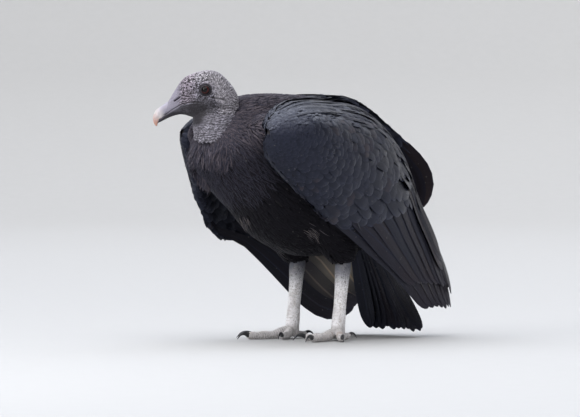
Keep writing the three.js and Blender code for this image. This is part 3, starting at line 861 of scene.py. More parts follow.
def tube(around, rings):
    """A capped tube: its mesh, and each vertex's place round it and along it, both 0 to 1."""
    bm = bmesh.new()
    bmesh.ops.create_cone(bm, cap_ends=True, segments=around, radius1=1, radius2=1, depth=1)
    lengthwise = [e for e in bm.edges if abs(e.verts[0].co.z - e.verts[1].co.z) > 0.5]
    bmesh.ops.subdivide_edges(bm, edges=lengthwise, cuts=rings - 2, use_grid_fill=True)
    co = np.array([v.co for v in bm.verts])
    return bm, np.arctan2(co[:, 1], co[:, 0]) / math.tau % 1, co[:, 2] + 0.5


def place_points(bm, points):
    """Moves a mesh's vertices to points in bird millimetres, and turns its faces outwards."""
    for v, co in zip(bm.verts, metres(points).tolist()):
        v.co = co
    bmesh.ops.recalc_face_normals(bm, faces=bm.faces[:])


print("a tube of 8 by 4:", len(tube(8, 4)[0].verts), "points")

# %% [markdown]
# ### Melting and searching
# A voxel remesh melts several forms into one closed surface of small even faces, where a boolean
# union would keep their creases. A search tree over a mesh finds the nearest skin for a feather.

# %% Melting and searching
def melted(name, parts, voxel, rounds):
    """The parts as one closed mesh, remeshed to small even faces and smoothed."""
    joined = bpy.data.meshes.new(name)
    whole = bmesh.new()
    for part in parts:
        scrap = bpy.data.meshes.new("scrap")
        part.to_mesh(scrap)
        part.free()
        whole.from_mesh(scrap)
        bpy.data.meshes.remove(scrap)
    whole.to_mesh(joined)
    whole.free()
    maker = bpy.data.objects.new("maker", joined)
    bpy.context.scene.collection.objects.link(maker)
    remesh = maker.modifiers.new("voxels", "REMESH")
    remesh.mode, remesh.voxel_size = "VOXEL", voxel * 0.001
    smooth = maker.modifiers.new("smooth", "SMOOTH")
    smooth.factor, smooth.iterations = 0.5, rounds
    done = bpy.data.meshes.new_from_object(maker.evaluated_get(bpy.context.evaluated_depsgraph_get()))
    bpy.data.objects.remove(maker)
    return done


def tree_of(mesh):
    """A search tree over a mesh, in bird millimetres, to find the nearest skin."""
    co = np.empty(len(mesh.vertices) * 3)
    mesh.vertices.foreach_get("co", co)
    points = co.reshape(-1, 3) * 1000 - SHIFT
    return BVHTree.FromPolygons(points.tolist(), [p.vertices[:] for p in mesh.polygons])


def ball(centre, radii):
    """A round lump in bird millimetres."""
    bm = bmesh.new()
    bmesh.ops.create_icosphere(bm, subdivisions=3, radius=1)
    place_points(bm, np.array([v.co for v in bm.verts]) * radii + centre)
    return bm


print("a round lump:", len(ball((0, 0, 0), (1, 1, 1)).verts), "points")

# %% [markdown]
# ### Trunk and wing arms
# The trunk is a tube through the same sections as the solid one, less the depth of the coat. It is
# melted with the thighs and two shoulder lumps, and a search tree over it lets each feather find the
# nearest skin. The arms are tubes along the wing sheets.

# %% Trunk and wing arms
COAT_DEPTH = 4.5
ARM_DEPTH = 3.0  # how far the arms' skin lies under the coverts, in mm
TRUNK_SECTIONS = [  # centre y and z, half width, height above and depth below
    [-178, 236, 12, 12, 8], [-172, 237, 32, 38, 22], [-156, 231, 50, 70, 36], [-128, 221, 61, 86, 50],
    [-88, 206, 69, 102, 64], [-44, 190, 73, 116, 83], [0, 172, 68, 106, 82], [34, 156, 57, 80, 66],
    [60, 142, 42, 50, 48], [80, 130, 27, 28, 30], [90, 124, 10, 10, 12],
]
TRUNK_UP = np.array((0, 0.5, math.cos(math.radians(30))))
trunk_form, around, along = tube(48, 50)
y, z, wide, above, below = sampled(even_curve(TRUNK_SECTIONS), along).T
turn = around * math.tau
reach = np.where(np.sin(turn) > 0, above, below) - COAT_DEPTH
centre = np.column_stack([np.zeros_like(y), y, z])
aside = ((wide - COAT_DEPTH) * np.cos(turn))[:, None] * ACROSS_WAY
place_points(trunk_form, centre + aside + (reach * np.sin(turn))[:, None] * TRUNK_UP)
shoulders = [ball((x, -118, 246), (26, 34, 22)) for x in (-50, 50)]
thighs = [node_copy(node, 3) for node in ("thigh_left", "thigh_right")]
trunk_mesh = melted("trunk_only", [trunk_form, *thighs, *shoulders], 4, 6)
TRUNK = tree_of(trunk_mesh)
arms = []
for wing in WING.values():
    bm, around, along = tube(28, 30)
    c = 2 * around - 1
    place_points(bm, wing.arm(0.002 + (wing.reach(np.abs(c)) - 0.03) * along, c, ARM_DEPTH))
    arms.append(bm)
print("trunk skin:", len(trunk_mesh.polygons), "faces")

# %% [markdown]
# ## Bare head and neck
# The head and upper neck are naked, wrinkled skin. Their smooth form is lofted through the same
# sections as the solids and melted with a half millimetre voxel, fine enough to carry every fold.
# The skull is described by how far forward, aside and up a place is, and then turned to its left.

# %% Head and neck form
HEAD_TURN = math.radians(-43)
HEAD_AT = np.array((0.0, -152, 281))
HEAD_SECTIONS = [  # forward, crown, jaw and half width
    [-19, 8, -2, 5], [-15, 17, -13, 14], [-7, 28, -17, 21], [4, 38, -19, 24], [16, 41, -19, 24.5],
    [27, 39.5, -17, 22], [37, 36, -14, 17], [46, 31, -11.5, 12.5], [54, 20.5, -12, 9.5],
    [63, 5.5, -15, 7.8], [70, -4.5, -18.6, 5.6], [76, -14, -21.5, 3],
]
NECK_SECTIONS = [  # x, y, z and radius
    [-0.5, -156, 229, 23], [-1, -160, 236, 24.5], [-3, -161, 252, 26], [-5, -158, 268, 26.5],
    [-7, -152, 286, 23],
]


def head_place(forward, aside, up):
    """Bird millimetres of a place on the turned head."""
    c, s = math.cos(HEAD_TURN), math.sin(HEAD_TURN)
    return HEAD_AT + np.stack([c * aside + s * forward, s * aside - c * forward, up], axis=-1)


def in_head(points):
    """How far forward, aside and up points in bird millimetres are on the head."""
    c, s = math.cos(HEAD_TURN), math.sin(HEAD_TURN)
    x, y, z = np.moveaxis(points - HEAD_AT, -1, 0)
    return s * x - c * y, c * x + s * y, z


def rounded(turn, squareness=1.0):
    """Across and up on a rounded ring, for places 0..1 round it."""
    c, s = np.cos(turn * math.tau), np.sin(turn * math.tau)
    return np.sign(c) * np.abs(c) ** squareness, np.sign(s) * np.abs(s) ** squareness


skull, around, along = tube(64, 70)
forward, crown, jaw, wide = sampled(even_curve(HEAD_SECTIONS), along).T
across, up = rounded(around, 0.88)
place_points(skull, head_place(forward, wide * across, (crown + jaw) / 2 + (crown - jaw) / 2 * up))
throat, around, along = tube(64, 40)
x, y, z, radius = sampled(even_curve(NECK_SECTIONS), along).T
across, up = rounded(around)
place_points(throat, np.column_stack([x + radius * across, y + radius * up, z]))
head_mesh = melted("head_skin", [skull, throat], 0.62, 11)
print("head skin:", len(head_mesh.polygons), "faces")

# %% [markdown]
# ### Places on the head
# The naked skin's marks are placed on a map of the head's side, by how far forward and how high they
# are. Cells, lines and ovals on that map are all that the patterns need.

# %% Places on the head
MOUTH_LINE = np.array([[26, 2.5], [36, 3.4], [47, 1.6], [58, -5], [69, -12.5], [77, -20]])
EYE_AT, EYE_ASIDE, EYE_RADIUS = (19.6, 17.2), 18.4, 6.6
NOSTRIL = ((51, 8.5), (56.5, 4.7))
EAR = ((7.5, 8), (-4, 5.5))
NECK_AXIS = (8.6, 3.9)  # how far forward and aside of the head's own axis the neck's is


def pebbles(points, size, crack=0.36):
    """1 inside rounded cells and 0 in the cracks between them."""
    gaps = []
    for p in (points / size).tolist():
        near = noise.voronoi(p)[0]
        gaps.append(near[1] - near[0])
    return smoothstep(0.0, crack, np.array(gaps))


def line_distance(f, h, a, b):
    """Distance from the line between two places on the head's side."""
    d = np.subtract(b, a)
    w = np.clip(((f - a[0]) * d[0] + (h - a[1]) * d[1]) / (d @ d), 0, 1)
    return np.hypot(f - a[0] - w * d[0], h - a[1] - w * d[1])


def spot(f, h, at, radii):
    """1 in the middle of an oval on the head's side, 0 well outside it."""
    r = np.hypot((f - at[0]) / radii[0], (h - at[1]) / radii[1])
    return 1 - smoothstep(0.55, 1.25, r)


def from_eye(f, h):
    """Distance from the eye's middle, on a map drawn out a little in height."""
    return np.hypot(f - EYE_AT[0], (h - EYE_AT[1]) * 1.04)


def lip_height(way):
    """Where bare skin ends, by the angle round the neck from the front: low there, high behind."""
    return -45 + 4 * (1 - smoothstep(0.2, 0.9, way)) + 40 * smoothstep(1.95, 3.0, way)


print("bare skin ends at", lip_height(np.array((0, 1.5, 3.1))).round(1), "mm, front to back")

# %% [markdown]
# ### Folds of the skin
# A vulture's naked skin is a map of small territories: pebbles on the crown, ridges fanning over the
# nape, wavy folds round the neck, long wrinkles before the eye, a smooth cheek. Each is a pattern
# with a mask. Sculpting could do it, but a formula gives the same folds each time it is run.

# %% Folds of the skin
def fold_pattern(p, f, a, h):
    """Ridges 0 to 1, the cells in them, and the masks of neck, nape and all that is folded."""
    turn = np.arctan2(h - 4, f - 8)
    fan = np.where(turn > 0, 27 * (turn - math.pi), 4 - h)
    wave = 2.0 * value_noise(p, 10) + 1.9 * value_noise(p, 4.6, 5) + 0.6 * value_noise(p, 2, 6)
    folds = np.abs(np.sin(math.pi * (fan + wave) / 2.7)) ** 0.75
    folds = folds * (0.6 + 0.4 * smoothstep(-0.35, 0.15, value_noise(p, 2.6, 9)))
    warp = np.column_stack([value_noise(p, 2.2, k) for k in (2, 12, 22)])
    cells = pebbles(np.column_stack([f, a, 1.6 * h + 0.35 * f]) * 0.8 + 2.0 * warp, 2.4)
    cells = cells * (0.7 + 0.3 * smoothstep(-0.3, 0.3, value_noise(p, 1.5, 31)))
    neck = 1 - smoothstep(-15, -6, h)
    nape = np.where(h > 4, smoothstep(1.05, 1.75, turn), 1 - smoothstep(-1, 8, f)) * (1 - neck)
    folded = np.maximum(neck, nape) * (1 - spot(f, h, (0.5, 6), (8.5, 7)))
    ridge = cells * (1 - folded) + folds * (0.4 + 0.6 * cells) * folded
    return ridge, cells, neck, nape, folded


def with_wrinkles(ridge, cells, p, f, over):
    """The ridges with long wrinkles laid over them between eye and bill."""
    level = smoothstep(-6, -4, over) * (1 - smoothstep(8, 13, over))
    shown = smoothstep(25, 33, f) * (1 - smoothstep(54, 62, f)) * level
    bent = over + 2.6 * value_noise(p, 7, 4) + 0.9 * value_noise(p, 2.6, 8)
    wrinkles = np.abs(np.sin(math.pi * bent / 2.7)) * (0.4 + 0.6 * cells)
    return ridge * (1 - shown) + wrinkles * shown


print("folds at the nape:", fold_pattern(np.array([[0.0, -130, 290]]), -10.0, 0.0, 12.0)[0].round(2))

# %% [markdown]
# ### Marks of the face
# Gape, nostril and ear are grooves, and brow, bag and ear lobe are swellings. The bare skin ends in
# a lip that overhangs the ruff: low in front and at the sides, high behind.

# %% Marks of the face
def face_marks(f, h, over):
    """Strength, 0 to 1, of each groove and swelling of the face."""
    r = from_eye(f, h)
    nostril = line_distance(f, h, *NOSTRIL)
    return {
        "gape": bell(over, 0.55) * smoothstep(24, 29, f),
        "slit": 1 - smoothstep(0.5, 1.15, nostril),
        "rim": bell(nostril - 2.0, 0.7),
        "ear": bell(line_distance(f, h, *EAR), 0.9),
        "lobe": spot(f, h, (1.4, 0.8), (5.2, 3.9)),
        "brow": bell(r - 9.3, 1.7) * smoothstep(0.1, 0.7, (h - EYE_AT[1]) / np.maximum(r, 1)),
        "bag": bell(r - 8.4, 0.9) * smoothstep(0.1, 0.6, (EYE_AT[1] - h) / np.maximum(r, 1)),
    }


MARK_HEIGHTS = {  # in mm, grooves below 0
    "gape": -0.9, "slit": -2.4, "rim": 0.4, "ear": -1.0, "lobe": 0.9, "brow": 1.0, "bag": 0.45,
}


def below_lip(p, f, a, h):
    """How far points are under the edge of the bare skin, in mm."""
    way = np.abs(np.arctan2(a - NECK_AXIS[1], f - NECK_AXIS[0]))
    scallop = 1.1 * np.sin(way * 26) + 1.2 * value_noise(p, 8, 6)
    return lip_height(way) + scallop - h


print("marks of the face:", list(MARK_HEIGHTS))

# %% [markdown]
# ### Relief of the head
# Folds and marks add up to a height, calmed where the skin is smooth. The same patterns give masks,
# so that the colour knows where it is on a ridge and where in a gap, and where to paint shade.

# %% Relief of the head
def relief(p):
    """How far the skin stands out in mm at points, and its colour masks."""
    f, a, h = in_head(p)
    ridge, cells, neck, nape, folded = fold_pattern(p, f, a, h)
    mouth = np.interp(f, *MOUTH_LINE.T)
    over = h - mouth
    ridge = with_wrinkles(ridge, cells, p, f, over)
    marks = face_marks(f, h, over)
    r = from_eye(f, h)
    throat = smoothstep(14, 30, f) * (1 - smoothstep(-14, -6, h)) * smoothstep(-32, -18, h)
    bill = smoothstep(46, 56, f)
    chin = smoothstep(0.5, 3.5, mouth - h) * smoothstep(10, 34, f) * smoothstep(-27, -19, h)
    smooth_parts = (
        (0.6, spot(f, h, (19, 0), (13, 8.5))), (0.85, spot(f, h, (0.5, 6), (8.5, 7))), (0.9, throat),
        (0.85, bill), (0.9, 1 - smoothstep(6.5, 10, r)), (0.8, chin),
    )
    calm = np.maximum.reduce([share * part for share, part in smooth_parts])
    out = (1.1 + 0.1 * neck) * (ridge - 0.6) * (1 - calm) + 0.12 * value_noise(p, 1.6, 7)
    for label, height in MARK_HEIGHTS.items():
        out = out + height * marks[label]
    under = below_lip(p, f, a, h)
    out = out + 1.1 * bell(under + 1.6, 1.6) * (under < 6) - 4.5 * smoothstep(-0.3, 2.2, under)

    brow, lobe = marks["brow"], marks["lobe"]
    swollen = 0.36 * calm + 0.1 * brow + 0.05 * lobe + 0.16 * folded * (1 - ridge)
    # Painted shade: the grooves and the ring round the eye, the throat under the jaw and the skin under the
    # ruff's lip are darkened as painted shade; the darker cheek and chin are partly dark skin and partly
    # painted shade.
    hollow_shade = marks["gape"] + marks["slit"] + 0.9 * marks["ear"] + 1.1 * (1 - smoothstep(6.6, 8.8, r))
    cheek = 0.72 * spot(f, h, (20, -2), (19, 11))
    shade_and_dark_skin = cheek + 0.65 * throat + hollow_shade + smoothstep(0.2, 2.5, under) + 0.75 * chin
    pink = np.clip(smoothstep(26, 42, f) * (1 - 0.5 * bill) + 0.25 * brow + 0.25 * lobe, 0, 1)
    masks = {
        "ridge": np.clip(ridge * (1 - 0.7 * calm) + swollen, 0, 1),
        # The crown's paleness, the last term, is painted top light.
        "pale": np.clip(0.85 * nape + 0.25 * neck * (1 - throat) + 0.9 * smoothstep(20, 34, h), 0, 1),
        "pink": pink * (h > mouth - 1),
        "shade": np.clip(shade_and_dark_skin, 0, 1),
        "bill": bill,
    }
    return out, masks


crown_masks = relief(np.array([[0.0, -152, 321]]))[1]
print("masks at the crown:", {label: value.round(2).tolist() for label, value in crown_masks.items()})

# %% [markdown]
# ### Lids
# Round each eye the skin is drawn over the ball as two lids with a crease, and sunk beneath it in
# the opening, so that the eyeball sits in its socket as a real one does.

# %% Lids
LID_RADIUS = 7.4  # of the skin drawn over the eyeball, in mm


def shape_lids(p):
    """The skin round each eye drawn over the ball as lids, and sunk beneath it in the opening."""
    f, a, h = in_head(p)
    r = from_eye(f, h)
    lid = EYE_ASIDE + np.sqrt(np.maximum(LID_RADIUS**2 - r * r, 0))
    under = EYE_ASIDE + np.sqrt(np.maximum(EYE_RADIUS**2 - r * r, 0)) - 2.2
    opening = 1 - smoothstep(4.45, 4.85, r)
    crease = 0.3 * bell(r - 6.0, 0.35)
    target = lid * (1 - opening) + under * opening - crease
    share = (1 - smoothstep(5.8, 8.6, r)) * (np.abs(a) > 8)
    return head_place(f, np.sign(a) * (np.abs(a) * (1 - share) + target * share), h)


print("the lids stand", round(LID_RADIUS - EYE_RADIUS, 2), "mm over the eyeball")

# %% [markdown]
# ### The head takes its relief
# The head's points are pushed out along their normals and then drawn over the eyes, and the masks
# are stored on them for the colours.

# %% Head with its relief
def mesh_points(mesh):
    """A mesh's points and normals, in bird millimetres."""
    co, normal = np.empty((2, len(mesh.vertices) * 3))
    mesh.vertices.foreach_get("co", co)
    mesh.vertices.foreach_get("normal", normal)
    return co.reshape(-1, 3) * 1000 - SHIFT, normal.reshape(-1, 3)


points, normals = mesh_points(head_mesh)
out, masks = relief(points)
formed = shape_lids(points + normals * out[:, None])
head_mesh.vertices.foreach_set("co", metres(formed).ravel())
for label, value in masks.items():
    head_mesh.attributes.new(label, "FLOAT", "POINT").data.foreach_set("value", value)
head_mesh.update()
print("relief from", round(out.min(), 1), "to", round(out.max(), 1), "mm")

# %% [markdown]
# ### Skin material
# Gaps between the folds are painted nearly black, as painted shade in the creases, and the ridges
# are pale: light grey on crown and nape, slate on face and neck, pinkish lilac before the eye. The
# crown's extra paleness is painted top light. The shade mask paints shade into grooves, round the
# eye, under the jaw and under the ruff, and darkens cheek and chin, which are partly dark skin and
# partly painted shade. The masks stored on the points steer it.

# %% Skin material
BILL_COLOUR, PAINTED_SHADE_COLOUR = (0.27, 0.255, 0.31), (0.014, 0.012, 0.014)
skin_material, n, shader = principled("bare_skin")
ridge, pale, pink, shade, bill = (n.attribute(a) for a in ("ridge", "pale", "pink", "shade", "bill"))
place = n.place()
fine = n.noise(place, 900.0, 4.0)
blotch = n.noise(place, 120.0, 3.0)
top = n.mix(pale, (0.3, 0.285, 0.345), (0.52, 0.49, 0.53))
top = n.mix(n.times(pink, 0.8), top, (0.49, 0.41, 0.49))
top = n.mix(n.times(n.range(blotch, 0.35, 0.75), 0.5), top, (0.15, 0.14, 0.16))
# Painted shade: the gaps between the ridges take the near-black shade colour.
colour = n.mix(n.range(ridge, 0.08, 0.95), PAINTED_SHADE_COLOUR, top)
colour = n.mix(n.times(bill, 0.7), colour, BILL_COLOUR)
# Painted shade from the shade mask, which on cheek and chin is partly dark skin.
colour = n.mix(n.times(shade, 0.9), colour, PAINTED_SHADE_COLOUR)
n.feed(shader.inputs["Base Color"], colour)
n.feed(shader.inputs["Roughness"], n.range(fine, 0.3, 0.7, 0.48, 0.72))
shader.inputs["Specular IOR Level"].default_value = 0.22
n.feed(shader.inputs["Normal"], n.bump(fine, 0.4, 0.0004))
print("skin material:", len(skin_material.node_tree.nodes), "nodes")

# %% [markdown]
# ### One skin
# Head, trunk and wing arms become one piece that stands for the solids of flesh, so that no seam
# shows. Trunk and arms are melted together, and the finer head ends inside them under the ruff.
# Skin under the coat is set to full shade, so that gaps between feathers stay dark.

# %% One skin for head, neck, body and wing arms
trunk_again = bmesh.new()
trunk_again.from_mesh(trunk_mesh)
body_mesh = melted("body_skin", [trunk_again, *arms], 4, 6)
whole = bmesh.new()
for mesh in (head_mesh, body_mesh):
    whole.from_mesh(mesh)
skin_mesh = bpy.data.meshes.new("skin")
whole.to_mesh(skin_mesh)
whole.free()
shade = np.ones(len(skin_mesh.vertices))
shade[: len(head_mesh.vertices)] = masks["shade"]
skin_mesh.attributes["shade"].data.foreach_set("value", shade)
skin_mesh.polygons.foreach_set("use_smooth", [True] * len(skin_mesh.polygons))
skin_mesh.materials.append(skin_material)
skin = bpy.data.objects.new("skin", skin_mesh)
bpy.context.scene.collection.objects.link(skin)
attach(skin, "root")
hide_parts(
    "head", "neck", "bill_lower", "trunk", "wing_left", "wing_right", "thigh_left", "thigh_right"
)
print("skin:", sum(len(p.vertices) - 2 for p in skin_mesh.polygons), "triangles")

# %% [markdown]
# ### Eyes
# The eye is a dark ball with a slight bulge over a red brown iris. It is a sphere turned to its own
# gaze, so that pupil and iris are rings round its pole. A low roughness gives it the wet glint.

# %% Eyes
IRIS_RADIUS, PUPIL_RADIUS = 4.9, 3.5
iris_material, n, shader = principled("iris")
ring = n.attribute("from_pupil")
fleck = n.noise(n.place(), 1500.0)
iris = n.mix(n.range(fleck, 0.35, 0.65), (0.02, 0.004, 0.004), (0.075, 0.012, 0.01))
iris = n.mix(n.range(ring, PUPIL_RADIUS - 0.25, PUPIL_RADIUS + 0.25), (0.001, 0.001, 0.0012), iris)
eye_colour = n.mix(n.range(ring, IRIS_RADIUS - 0.5, IRIS_RADIUS), iris, (0.008, 0.005, 0.005))
n.feed(shader.inputs["Base Color"], eye_colour)
shader.inputs["Roughness"].default_value = 0.06
shader.inputs["Specular IOR Level"].default_value = 0.22


def finished(name, bm, material, slot, *nodes):
    """A smooth piece from a mesh, riding on the bird and standing for some solids."""
    mesh = bpy.data.meshes.new(name)
    bm.to_mesh(mesh)
    bm.free()
    mesh.polygons.foreach_set("use_smooth", [True] * len(mesh.polygons))
    mesh.materials.append(material)
    piece = bpy.data.objects.new(name, mesh)
    bpy.context.scene.collection.objects.link(piece)
    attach(piece, "root")
    if nodes:
        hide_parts(*nodes)
    return piece


for name, side in (("left", 1), ("right", -1)):
    bm = bmesh.new()
    bmesh.ops.create_uvsphere(bm, u_segments=48, v_segments=40, radius=EYE_RADIUS)
    co = np.array([v.co for v in bm.verts])
    from_pupil = np.where(co[:, 2] > 0, np.hypot(co[:, 0], co[:, 1]), 9)
    co = co * (1 + 0.05 * bell(from_pupil, 3.6))[:, None]
    gaze = unit(np.array((side * 1.0, 0.2, 0.14)))
    over = unit(np.cross(gaze, (0, 1.0, 0)))
    a, f, h = (co[:, :1] * over + co[:, 1:2] * np.cross(gaze, over) + co[:, 2:] * gaze).T
    place_points(bm, head_place(EYE_AT[0] + f, side * EYE_ASIDE + a, EYE_AT[1] + h))
    piece = finished(f"eyeball_{name}", bm, iris_material, "eye", f"eye_{name}")
    piece.data.attributes.new("from_pupil", "FLOAT", "POINT").data.foreach_set("value", from_pupil)
print("eyes of", 2 * EYE_RADIUS, "mm across, irises of", 2 * IRIS_RADIUS)

# %% [markdown]
# ### Bill hook
# The hook is a tapering tube that droops over the lower bill and turns from ivory to a warm pink. A
# little light passes through the thin horn, and growth lines roughen it.

# %% Bill hook
HOOK_SECTIONS = [  # forward, up, half height, half width
    [61, -2, 7.3, 6.9], [68, -7, 7, 6.6], [73.5, -10.8, 6.8, 5.8], [77.4, -15.6, 4.8, 4],
    [78.5, -20.6, 2.8, 2.4], [77.7, -24.8, 0.8, 0.8],
]
horn_material, n, shader = principled("bill_horn")
along_hook = n.attribute("along")
place = n.place()
growth = n.noise(place, 300.0, 3.0)
colour = n.mix(n.range(along_hook, 0.26, 0.56), BILL_COLOUR, (0.58, 0.53, 0.53))
colour = n.mix(n.range(along_hook, 0.5, 0.92), colour, (0.52, 0.27, 0.2))
colour = n.mix(n.times(n.range(growth, 0.4, 0.7), 0.35), colour, (0.26, 0.23, 0.25))
n.feed(shader.inputs["Base Color"], colour)
shader.inputs["Roughness"].default_value = 0.38
shader.inputs["Subsurface Weight"].default_value = 0.15
shader.inputs["Subsurface Radius"].default_value = (0.002, 0.001, 0.0006)
n.feed(shader.inputs["Normal"], n.bump(growth, 0.25, 0.0003))

hook, around, along = tube(40, 44)
table = even_curve(HOOK_SECTIONS)
f, h, high, wide = sampled(table, along).T
heading = unit(np.gradient(table[:, :2], axis=0))
heading_f, heading_h = sampled(heading, along).T
across, up = rounded(around, 0.92)
keel = 1 - 0.12 * (up > 0) * np.abs(across)
forward = f - heading_h * high * up * keel
place_points(hook, head_place(forward, wide * across, h + heading_f * high * up * keel))
piece = finished("bill_hook", hook, horn_material, "horn", "bill_upper")
piece.data.attributes.new("along", "FLOAT", "POINT").data.foreach_set("value", along)
print("bill hook through", len(HOOK_SECTIONS), "sections")

# %% [markdown]
# ## Legs and feet
# The shanks are bare and slim, and pads under each joint swell the toes. Shank and toes are tubes
# along their bones, given by lengths, radii and headings, and are later melted into one foot.

# %% Leg forms
ANKLE, FOOT = np.array((40.0, 7, 96)), np.array((40.0, -2, 15))
TARSUS_RADII = profile([9.6, 9.8, 8.8, 8.2, 7.9, 7.8, 8.4, 8.6])
TOES = {"inner": (-34, 46, 5.0), "middle": (0, 70, 5.4), "outer": (32, 52, 4.9), "hind": (172, 24, 4.2)}
FOOT_TURN = {"left": 20, "right": 3}
TOE_HEIGHTS = profile([14, 10, 5.6, 4.6, 4.4, 5])
LEGS = {"left": 1, "right": -1}


def toe_way(leg, toe):
    """The level direction in which a toe points."""
    heading = math.radians(TOES[toe][0] + FOOT_TURN[leg])
    return np.array((LEGS[leg] * math.sin(heading), -math.cos(heading), 0))


def foot_of(leg):
    """The foot's middle on the floor."""
    return np.array((LEGS[leg] * FOOT[0], FOOT[1], 0))


def toe_form(leg, toe):
    """A toe as a tube with pads and a rounded end."""
    _, length, radius = TOES[toe]
    way = toe_way(leg, toe)
    side = np.cross(way, UP_WAY)
    bm, around, along = tube(24, 40)
    pads = 1 + 0.12 * np.cos(math.tau * 3 * along)
    r = radius * (1 - 0.16 * along) * pads * np.sqrt(1 - smoothstep(0.9, 1.06, along))
    across, up = rounded(around)
    centre = foot_of(leg) + way * (length * along)[:, None] + UP_WAY * TOE_HEIGHTS(along)[:, None]
    up = np.where(up < 0, up * 1.05, up)
    points = centre + side * (0.9 * r * across)[:, None] + UP_WAY * (r * up)[:, None]
    points[:, 2] = np.maximum(points[:, 2], 0.45)
    place_points(bm, points)
    return bm


def shank_form(leg):
    """The bare shank from under the leg feathers to its pad on the floor."""
    bm, around, along = tube(36, 50)
    z = ANKLE[2] * (1 - along) + 2.2 * along
    t = np.clip((ANKLE[2] - z) / (ANKLE[2] - FOOT[2]), 0, 1)
    centre = ANKLE + (FOOT - ANKLE) * t[:, None]
    centre[:, 0] *= LEGS[leg]
    centre[:, 2] = z
    r = TARSUS_RADII(t) * np.sqrt(np.clip(1 - ((12 - z) / 11.5).clip(0) ** 2 * 0.5, 0, 1))
    across, up = rounded(around)
    place_points(bm, centre + np.column_stack([0.92 * r * across, r * up, np.zeros_like(r)]))
    return bm


print("toes, mm:", {toe: length for toe, (_, length, _) in TOES.items()})

# %% [markdown]
# ### Plates of the legs
# The shanks are covered in small plates, broader down the front, and rings of scutes run along the
# top of the toes. Both are patterns that follow the bones, pressed into the melted foot.

# %% Plates of the legs
def plates(round_way, long_way, size, wave):
    """Domed plates in offset rows: 1 on a plate, 0 in the gaps."""
    row = long_way / size + wave
    shift = 0.5 * (np.floor(row) % 2)
    across = np.abs(np.sin(math.pi * (round_way / size + shift)))
    return np.minimum(np.abs(np.sin(math.pi * row)) ** 0.5, across**0.5)


def leg_relief(leg, p):
    """Plates on the shank and scutes on the toes, in mm, with their masks."""
    shank_t = np.clip((ANKLE[2] - p[:, 2]) / (ANKLE[2] - FOOT[2]), 0, 1)
    centre = ANKLE + (FOOT - ANKLE) * shank_t[:, None]
    x, y = p[:, 0] - centre[:, 0] * LEGS[leg], p[:, 1] - centre[:, 1]
    turn = np.arctan2(x, -y)
    shank = smoothstep(14, 20, p[:, 2])
    wave = 0.25 * value_noise(p, 6, 3)
    small = pebbles(p * (1, 1, 1.15), 2.3, 0.2)
    front = 1 - smoothstep(0.5, 0.9, np.abs(turn))
    broad = np.abs(np.sin(math.pi * (p[:, 2] / 4.2 + wave))) ** 0.4
    low = 1 - smoothstep(30, 44, p[:, 2])
    ridge = small * (1 - front * (0.35 + 0.65 * low)) + broad * front * (0.35 + 0.65 * low)
    best, scute = np.full(len(p), 1e9), np.zeros(len(p))
    for toe, (_, length, radius) in TOES.items():
        way = toe_way(leg, toe)
        rel = p - foot_of(leg)
        s, aside = rel @ way, rel @ np.cross(way, UP_WAY)
        over = rel[:, 2] - TOE_HEIGHTS(s / length)
        off = np.hypot(aside, over) + 30 * (s < -2)
        rings = np.abs(np.sin(math.pi * (s / 3.1 + 0.4 * wave))) ** 0.45
        under = plates(aside, s, 1.8, wave)
        upper = smoothstep(-0.3, 0.5, over / radius)
        mine = off < best
        scute = np.where(mine, rings * upper + under * (1 - upper), scute)
        best = np.minimum(best, off)
    ridge = ridge * shank + scute * (1 - shank)
    out = (0.34 + 0.12 * (1 - shank)) * (ridge - 0.7) + 0.12 * value_noise(p, 3, 8)
    out = np.where(p[:, 2] < 1.0, 0, out)
    return out, {"ridge": ridge, "height": p[:, 2] * 0.01, "toe": 1 - shank}


print("plates at a heel:", leg_relief("left", np.array([[40.0, 12, 30]]))[0].round(2), "mm")

# %% [markdown]
# ### Leg skin
# The lower shank is chalky white, as vultures whiten their legs with droppings to keep cool, and
# turns slate grey above. Dust, brown stain and dark specks break it up, and the toes are dirtier.

# %% Leg material
leg_material, n, shader = principled("leg_skin")
ridge, height, toe = (n.attribute(a) for a in ("ridge", "height", "toe"))
place = n.place()
dirt, stain = n.noise(place, 90.0, 4.0), n.noise(place, 55.0, 2.0)
speck = n.noise(place, 420.0, 3.0)
top = n.mix(n.range(height, 0.58, 0.88), (0.87, 0.85, 0.86), (0.11, 0.115, 0.14))
top = n.mix(n.times(n.range(dirt, 0.42, 0.68), 0.4), top, (0.34, 0.31, 0.29))
top = n.mix(n.times(n.range(stain, 0.6, 0.74), 0.5), top, (0.4, 0.2, 0.08))
top = n.mix(n.times(toe, 0.55), top, (0.36, 0.33, 0.31))
top = n.mix(n.times(n.range(speck, 0.5, 0.7), 0.4), top, (0.2, 0.19, 0.2))
gap = n.mix(n.range(height, 0.5, 0.85), (0.52, 0.48, 0.45), (0.08, 0.08, 0.095))
gap = n.mix(n.times(toe, 0.85), gap, (0.12, 0.105, 0.095))
n.feed(shader.inputs["Base Color"], n.mix(n.range(ridge, 0.1, 0.8), gap, top))
n.feed(shader.inputs["Roughness"], n.range(speck, 0.3, 0.7, 0.5, 0.75))
n.feed(shader.inputs["Normal"], n.bump(speck, 0.3, 0.0003))
print("leg material:", len(leg_material.node_tree.nodes), "nodes")

# %% [markdown]
# ### Claws
# A claw is a round tube, flatter below, that rises out of the toe and hooks down to the floor. Its
# horn is black and only a little glossy, with grey scratches from the ground.

# %% Claws
claw_material, n, shader = principled("claw_horn")
place = n.place()
scratch = n.noise(place, 350.0, 4.0)
colour = n.mix(n.range(scratch, 0.45, 0.75), (0.012, 0.012, 0.014), (0.06, 0.06, 0.068))
n.feed(shader.inputs["Base Color"], colour)
n.feed(shader.inputs["Roughness"], n.range(scratch, 0.3, 0.7, 0.28, 0.5))
n.feed(shader.inputs["Normal"], n.bump(scratch, 0.2, 0.0002))
CLAW_LENGTH = 16


